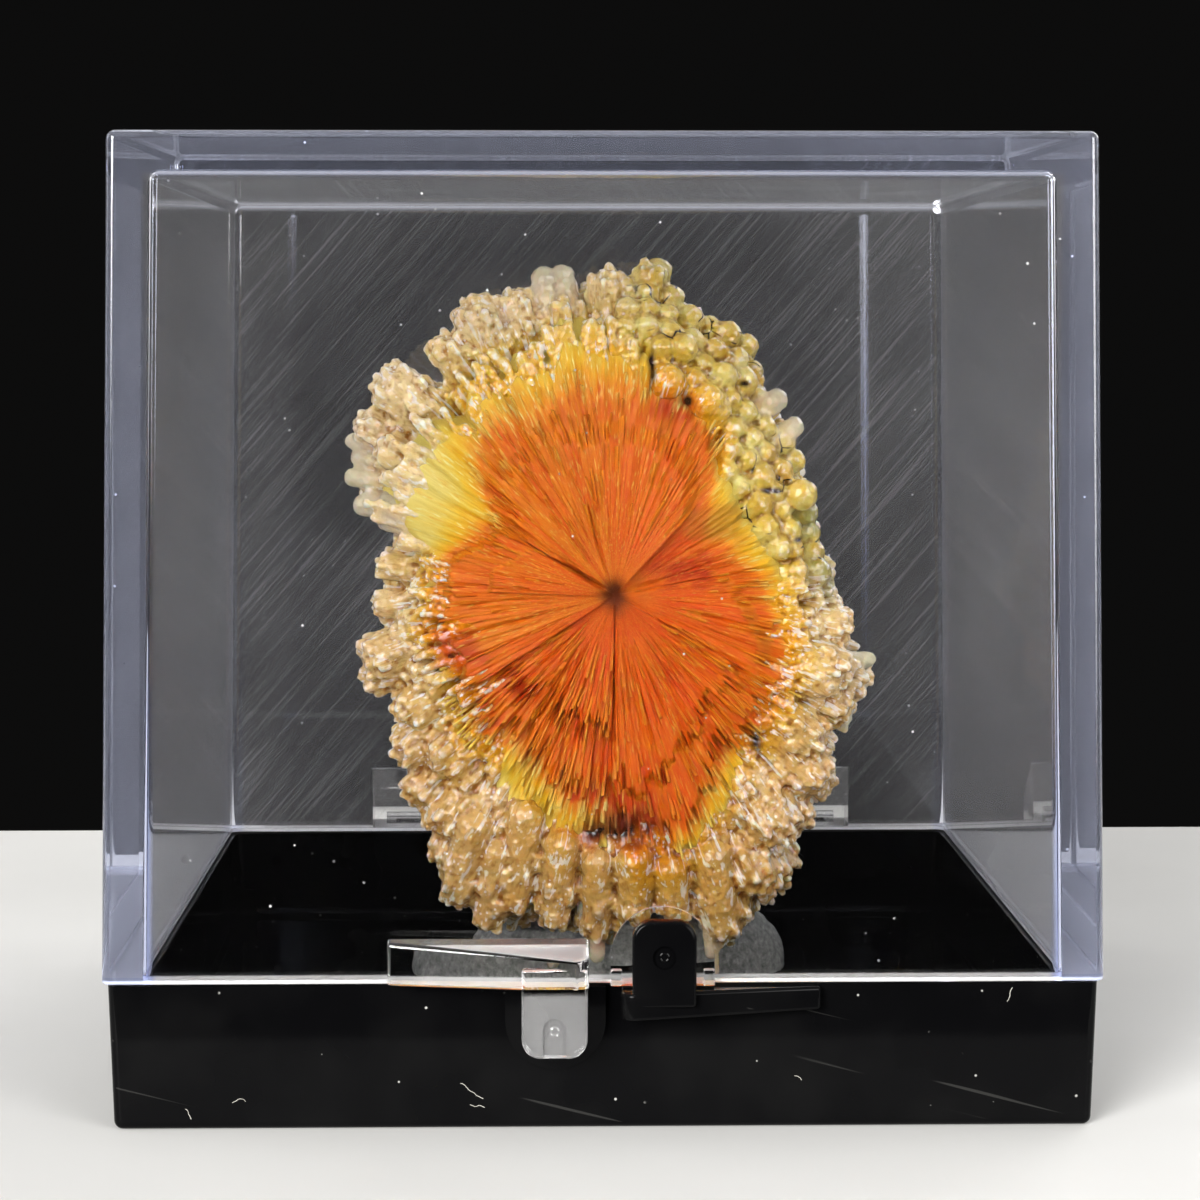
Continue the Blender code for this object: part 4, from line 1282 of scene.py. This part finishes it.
def clear_plastic():
    """Return clear styrene with a film of dust and scratches inside, bluish in its side walls, with
    painted highlights: a whitened bottom edge and a whitened prong.
    """
    nodes = material_nodes("clear_styrene")
    place = nodes.place()
    x, y, z = nodes.parts(place)
    side = nodes.steps(nodes.math("ABSOLUTE", x), LID_INSIDE, LID_INSIDE + WALL_BLEND)
    above = nodes.steps(z, LID_CEILING, LID_CEILING + WALL_BLEND)
    front = nodes.steps(y, -LID_INSIDE, -LID_INSIDE + WALL_BLEND, 1.0, 0.0)
    behind = nodes.steps(y, LID_INSIDE - WALL_BLEND, LID_INSIDE)
    edge = nodes.larger(side, above)
    cloud = nodes.noise(place, 0.16, detail=1.0)
    film = nodes.larger(nodes.times(above, TOP_DUST), nodes.times(behind, BACK_DUST))
    film = nodes.larger(nodes.times(side, SIDE_DUST), film)
    film = nodes.times(film, nodes.steps(cloud, 0.3, 0.7, 0.8, 1.2))
    frame_film = nodes.times(nodes.times(edge, FRAME_DUST), front)
    film = nodes.plus(nodes.times(film, nodes.left(front)), frame_film)
    # The prong below the lid's rim is whitened: a painted highlight that makes it look brightly lit.
    latch_shine = nodes.steps(y, -LID_HALF - 0.03, -LID_HALF - 0.01, 1.0, 0.0)
    latch_shine = nodes.times(latch_shine, nodes.steps(z, 4.6, 4.7, 1.0, 0.0))
    film = nodes.plus(film, nodes.times(latch_shine, LATCH_PAINTED_SHINE))
    lines = nodes.steps(streaks(nodes, place, (0.0, -0.85, 0.0), 0.07, 12.0), 0.55, 0.70)
    lines = nodes.times(nodes.times(lines, nodes.steps(cloud, 0.36, 0.60, 0.55, 1.0)), behind)
    specks = nodes.steps(nodes.cells(place, 0.9), 0.025, 0.05, 1.0, 0.0)
    specks = nodes.times(specks, nodes.steps(cloud, 0.44, 0.50))
    # The lid's lowest edge all round, except the prong and tab, is frosted and whitened: a painted
    # highlight for the glint along it, twice as strong at the back.
    rim = nodes.steps(z, LID_RIM + 0.10, LID_RIM + 0.18, 1.0, 0.0)
    rim = nodes.times(rim, nodes.steps(y, -LID_HALF - 0.05, -LID_HALF - 0.02))
    rim = nodes.times(rim, nodes.plus(RIM_FROST_AND_GLINT, nodes.times(behind, RIM_FROST_AND_GLINT)))
    dirt_and_glint = nodes.plus(film, nodes.times(lines, SCRATCH_DUST))
    dirt_and_glint = nodes.plus(dirt_and_glint, nodes.times(specks, SPECK_DUST))
    dirt_and_glint = nodes.plus(dirt_and_glint, rim, clamp=True)
    clear = nodes.left(dirt_and_glint)
    tinted = nodes.times(edge, nodes.steps(front, 0.0, 1.0, 0.35, 1.0))
    colour = nodes.mix(tinted, (0.985, 0.985, 0.985), (0.68, 0.74, 1.0))
    return nodes.set(Base_Color=colour, Transmission_Weight=clear, Roughness=0.015, IOR=1.59,
                     Sheen_Weight=0.2, Sheen_Roughness=0.35)


def black_plastic():
    """Return glossy black plastic with dust and a few hairline scratches."""
    nodes = material_nodes("black_styrene")
    place = nodes.place()
    specks = nodes.steps(nodes.cells(place, 1.3), 0.035, 0.075, 1.0, 0.0)
    chosen = nodes.steps(nodes.noise(place, 0.7, detail=1.0), 0.50, 0.56)
    specks = nodes.times(specks, chosen)
    film = nodes.steps(nodes.noise(place, 0.35, detail=2.0), 0.35, 0.8, 0.0, 0.003)
    lines = nodes.steps(streaks(nodes, place, (0.0, 0.25, 0.0), 0.08, 5.0), 0.74, 0.78)
    dust = nodes.plus(nodes.times(specks, 0.6), film)
    dust = nodes.plus(dust, nodes.times(lines, 0.03), clamp=True)
    colour = nodes.mix(dust, (0.0014, 0.0014, 0.0016), (0.45, 0.45, 0.42))
    rough = nodes.plus(0.09, nodes.times(dust, 0.8))
    relief = nodes.noise(place, 0.6, detail=2.0)
    return nodes.set(Base_Color=colour, Roughness=rough, IOR=1.46, Specular_IOR_Level=0.07,
                     Normal=nodes.bump(relief, 0.05, 0.05))


def grey_putty():
    """Return dull grey putty with grains."""
    nodes = material_nodes("mounting_putty")
    place = nodes.place()
    grain = nodes.noise(place, 4.0, detail=5.0, roughness=0.7)
    grit = nodes.cells(place, 5.0)
    colour = nodes.ramp(grain, ((0.3, srgb(92, 92, 88)), (0.55, srgb(134, 134, 128)),
                                (0.75, srgb(168, 168, 160))))
    relief = nodes.plus(grain, nodes.times(grit, 0.5))
    return nodes.set(Base_Color=colour, Roughness=0.85, Normal=nodes.bump(relief, 0.7, 0.12))


def radial_lines(nodes, place, turns, length, depth_share=0.1):
    """Return the place for noise that runs in lines away from the radiating centre."""
    away = nodes.vector("SUBTRACT", place, tuple(CENTRE))
    flat = nodes.vector("MULTIPLY", away, (1.0, depth_share, 1.0))
    direction = nodes.add("ShaderNodeVectorMath", operation="NORMALIZE")
    nodes.feed(direction.inputs[0], flat)
    lines = nodes.vector("MULTIPLY", direction.outputs[0], (turns, turns, turns))
    distance = nodes.vector("LENGTH", away, (0.0, 0.0, 0.0))
    shift = nodes.add("ShaderNodeCombineXYZ")
    nodes.feed(shift.inputs[1], nodes.times(distance, length))
    return nodes.vector("ADD", lines, shift.outputs[0])


def fan_patches(nodes, colour, place, inside):
    """Vary the face's colour from one bundle of needles to the next."""
    tone = nodes.attribute("tone")
    patchy = nodes.noise(place, 0.6, detail=2.0)
    redder = nodes.times(nodes.steps(tone, 0.20, 0.50, 0.7, 0.0), inside)
    colour = nodes.mix(redder, colour, srgb(234, 60, 0))
    golden = nodes.times(nodes.steps(tone, 0.50, 0.85, 0.0, 0.7), inside)
    colour = nodes.mix(golden, colour, srgb(244, 138, 30))
    cloudy = nodes.times(nodes.steps(patchy, 0.35, 0.65, 0.0, 0.35), inside)
    colour = nodes.mix(cloudy, colour, srgb(246, 126, 8))
    return nodes.mix(nodes.times(nodes.attribute("red"), 0.75), colour, srgb(190, 26, 0))


def fan_needles(nodes, colour, place, inside, fine):
    """Draw light and dark needles on the face, with pale streaks that are partly painted glints, pale
    torn ends that are partly painted highlight, and painted shade in the hollows.
    """
    light = nodes.mix(inside, srgb(252, 226, 150), srgb(252, 156, 48))
    colour = nodes.mix(nodes.steps(fine, 0.50, 0.72, 0.0, 0.4), colour, light)
    shade = nodes.mix(inside, srgb(226, 140, 10), srgb(214, 56, 0))
    colour = nodes.mix(nodes.steps(fine, 0.32, 0.48, 0.45, 0.0), colour, shade)
    # Pale streaks along the needles: partly paler needles and partly painted glints.
    flecks = nodes.noise(radial_lines(nodes, place, 85.0, 1.3), 1.0, detail=1.0)
    creamy = nodes.steps(nodes.attribute("tone"), 0.30, 0.80, 0.25, 0.75)
    pale = nodes.mix(inside, srgb(255, 244, 200), srgb(255, 196, 120))
    colour = nodes.mix(nodes.times(nodes.steps(flecks, 0.60, 0.72), creamy), colour, pale)
    # Torn needle ends are paler: partly their own colour and partly painted highlight on the broken
    # steps.
    colour = nodes.mix(nodes.times(nodes.attribute("ends"), 0.5), colour, light)
    # Painted shade: the hollows of the face are darkened.
    hollow = nodes.steps(nodes.attribute("hollow"), 0.3, 1.0, 0.0, 0.4)
    return nodes.mix(hollow, colour, nodes.mix(inside, srgb(200, 110, 0), srgb(202, 46, 0)))


def fan_material():
    """Return the broken face: silky orange needles that turn amber at their outer ends."""
    nodes = material_nodes("scolecite_fan")
    place = nodes.place()
    reach = nodes.attribute("reach")
    wide = nodes.noise(radial_lines(nodes, place, 5.0, 0.25), 1.0, detail=3.0)
    fine = nodes.noise(radial_lines(nodes, place, 44.0, 0.45), 1.0, detail=3.0, roughness=0.7)
    spot = nodes.sway(reach, wide, 0.30)
    spot = nodes.sway(spot, fine, 0.25)
    colour = nodes.ramp(nodes.times(spot, 0.5), (
        (0.0, srgb(236, 84, 6)), (0.25, srgb(238, 88, 0)), (0.46, srgb(240, 98, 0)),
        (0.50, srgb(240, 120, 0)), (0.54, srgb(242, 150, 6)), (0.60, srgb(242, 176, 16)),
        (0.68, srgb(242, 190, 52)), (0.80, srgb(242, 208, 124)), (1.0, srgb(244, 224, 190))))
    inside = nodes.steps(spot, 0.96, 1.06, 1.0, 0.0)
    colour = fan_patches(nodes, colour, place, inside)
    colour = fan_needles(nodes, colour, place, inside, fine)
    heart = nodes.sway(reach, fine, 0.16)
    colour = nodes.mix(nodes.steps(heart, 0.02, 0.13, 0.88, 0.0), colour, srgb(84, 26, 24))
    # Painted shade of the pits and the recess.
    colour = nodes.mix(nodes.times(nodes.attribute("dark"), 0.85), colour, srgb(84, 18, 2))
    colour = nodes.mix(nodes.times(nodes.attribute("cool"), 0.7), colour, srgb(186, 122, 34))
    dimmer = nodes.mix(inside, (0.78, 0.82, 0.50), (0.70, 0.74, 0.36))
    colour = nodes.tint(colour, dimmer)
    return nodes.set(Base_Color=colour, Roughness=0.42, IOR=1.51, Specular_IOR_Level=0.18,
                     Normal=nodes.bump(fine, 0.6, 0.07))


def crust_colour(nodes, place, ball, patchy):
    """Return the crust's colour: amber near the face, pale outside, olive on the balls, darker and
    browner towards the bottom.
    """
    spot = nodes.sway(nodes.attribute("reach"), patchy, 0.5)
    colour = nodes.ramp(nodes.times(spot, 0.5), (
        (0.45, srgb(238, 146, 4)), (0.55, srgb(240, 170, 18)), (0.63, srgb(240, 188, 56)),
        (0.72, srgb(238, 198, 96)), (0.80, srgb(240, 208, 142)), (1.0, srgb(244, 222, 186))))
    # Darker and browner towards the bottom.
    low = nodes.steps(nodes.parts(place)[2], 4.0, 22.0, 1.0, 0.0)
    colour = nodes.tint(colour, nodes.mix(low, (0.97, 0.97, 0.95), (0.70, 0.55, 0.32)))
    olive = nodes.ramp(nodes.noise(place, 0.9, detail=3.0), (
        (0.30, srgb(192, 150, 34)), (0.48, srgb(216, 184, 72)), (0.68, srgb(226, 210, 124))))
    colour = nodes.mix(nodes.times(ball, 0.9), colour, olive)
    return nodes.mix(nodes.times(nodes.attribute("cool"), 0.6), colour, srgb(118, 132, 74))


def crust_shade_and_highlights(nodes, colour, ball):
    """Paint shade into the hollows between the fingers and paint highlights on their ridges."""
    hollow = nodes.attribute("hollow")
    # Painted shade: the hollows between the fingers are darkened and made more amber.
    pit = nodes.steps(hollow, -0.05, 0.55, 0.0, 0.95)
    pit_shade_colour = nodes.mix(ball, (0.42, 0.22, 0.04), (0.40, 0.26, 0.05))
    colour = nodes.mix(pit, colour, nodes.tint(colour, pit_shade_colour))
    # Painted highlight: the ridges are lightened almost to white.
    ridge_highlight = nodes.steps(hollow, -0.85, -0.2, 0.95, 0.0)
    return nodes.mix(ridge_highlight, colour, srgb(255, 242, 224))


def crust_sparkles_and_needles(nodes, colour, place, finger, patchy):
    """Give the fingers painted sparkles of highlight, painted highlight dashes along their needles,
    and darker needle lines.
    """
    # Painted sparkles: small pale dots that stand in for glints on the fingers.
    grains = nodes.steps(nodes.cells(place, 3.6), 0.14, 0.24, 0.7, 0.0)
    grains = nodes.times(grains, nodes.steps(patchy, 0.42, 0.56, 0.25, 1.0))
    colour = nodes.mix(nodes.times(grains, finger), colour, srgb(255, 246, 230))
    lines = radial_lines(nodes, place, 46.0, 0.9, 0.5)
    fine = nodes.noise(lines, 1.0, detail=2.0, roughness=0.6)
    # Painted highlight: light dashes along the needles.
    highlight_dashes = nodes.times(nodes.steps(fine, 0.56, 0.66, 0.0, 0.75), finger)
    colour = nodes.mix(highlight_dashes, colour, srgb(255, 248, 234))
    dim = nodes.times(nodes.steps(fine, 0.30, 0.44, 0.5, 0.0), finger)
    return nodes.mix(dim, colour, nodes.tint(colour, (0.5, 0.34, 0.14)))


def crust_cracks(nodes, place, ball):
    """Return how much of a dark crack there is among the balls."""
    seam = nodes.cells(place, 0.95, feature="DISTANCE_TO_EDGE")
    seam = nodes.steps(seam, 0.010, 0.04, 1.0, 0.0)
    broken = nodes.steps(nodes.noise(place, 0.8, detail=2.0), 0.56, 0.62)
    return nodes.times(nodes.times(seam, broken), ball)


def crust_material():
    """Return the crust: glassy rounded tips, pale outside and amber in between."""
    nodes = material_nodes("scolecite_crust")
    place = nodes.place()
    ball = nodes.attribute("ball")
    patchy = nodes.noise(place, 0.45, detail=2.0)
    colour = crust_colour(nodes, place, ball, patchy)
    colour = crust_shade_and_highlights(nodes, colour, ball)
    colour = crust_sparkles_and_needles(nodes, colour, place, nodes.left(ball), patchy)
    colour = nodes.mix(crust_cracks(nodes, place, ball), colour, srgb(34, 26, 10))
    colour = nodes.mix(nodes.times(nodes.attribute("red"), 0.8), colour, srgb(214, 66, 6))
    # Painted shade of the pits and the recess.
    colour = nodes.mix(nodes.attribute("dark"), colour, srgb(44, 18, 8))
    glassy = nodes.attribute("glassy")
    colour = nodes.mix(glassy, colour, srgb(255, 236, 200))
    facets = nodes.cells(place, 4.2)
    return nodes.set(Base_Color=colour, Subsurface_Weight=0.5, Subsurface_Scale=0.36 * MM,
                     Subsurface_Radius=(1.0, 0.62, 0.28), Roughness=0.08, IOR=1.51,
                     Transmission_Weight=nodes.times(glassy, 0.4), Coat_Weight=0.5,
                     Coat_Roughness=0.04, Normal=nodes.bump(facets, 0.7, 0.09))


def build_stage():
    """Make the pale table top that the box stands on, with its front edge just out of the picture."""
    nodes = material_nodes("pale_table")
    place = nodes.place()
    tone = nodes.noise(place, 0.05, detail=3.0)
    colour = nodes.ramp(tone, ((0.3, srgb(200, 200, 198)), (0.7, srgb(208, 208, 206))))
    grain = nodes.noise(place, 3.0, detail=3.0)
    material = nodes.set(Base_Color=colour, Roughness=0.55, Normal=nodes.bump(grain, 0.1, 0.02))
    table = new_object("table", box(*TABLE), material)
    return table


def build_world():
    """Light the scene with soft round panels all about, and leave the rest of the room dark."""
    world = bpy.data.worlds.new("studio")
    bpy.context.scene.world = world
    nodes = Nodes(world)
    towards = nodes.add("ShaderNodeTexCoord").outputs["Generated"]
    light = ROOM_LIGHT
    for direction, inner, outer, strength in PANELS:
        near = nodes.vector("DOT_PRODUCT", towards, Vector(direction).normalized())
        edge = (math.cos(math.radians(outer)), math.cos(math.radians(inner)))
        light = nodes.plus(light, nodes.steps(near, *edge, 0.0, strength))
    background = nodes.tree.nodes["Background"]
    nodes.feed(background.inputs["Strength"], light)
    nodes.feed(background.inputs["Color"], LIGHT_COLOUR)


def build_camera():
    """Place the camera as the photograph's was."""
    data = bpy.data.cameras.new("camera")
    data.lens = CAMERA_LENS
    data.sensor_width = 36.0
    data.clip_start = 0.001
    camera = linked("camera", data)
    camera.location = Vector(CAMERA_PLACE) * MM
    ahead = Vector((math.sin(CAMERA_YAW) * math.cos(CAMERA_PITCH),
                    math.cos(CAMERA_YAW) * math.cos(CAMERA_PITCH), -math.sin(CAMERA_PITCH)))
    camera.rotation_euler = ahead.to_track_quat("-Z", "Y").to_euler()
    bpy.context.scene.camera = camera


build_camera()
build_world()
build_stage()
build_base(black_plastic())
build_lid(clear_plastic())
build_lint(lint_fibre())
build_putty(grey_putty())
build_crust(crust_material())
needles = fan_material()
build_fan(needles)
build_splinters(needles)
bpy.context.scene.view_settings.view_transform = "Standard"
bpy.context.scene.cycles.max_bounces = 9
bpy.context.scene.cycles.diffuse_bounces = 2
bpy.context.scene.cycles.glossy_bounces = 4
bpy.context.scene.cycles.transmission_bounces = 10
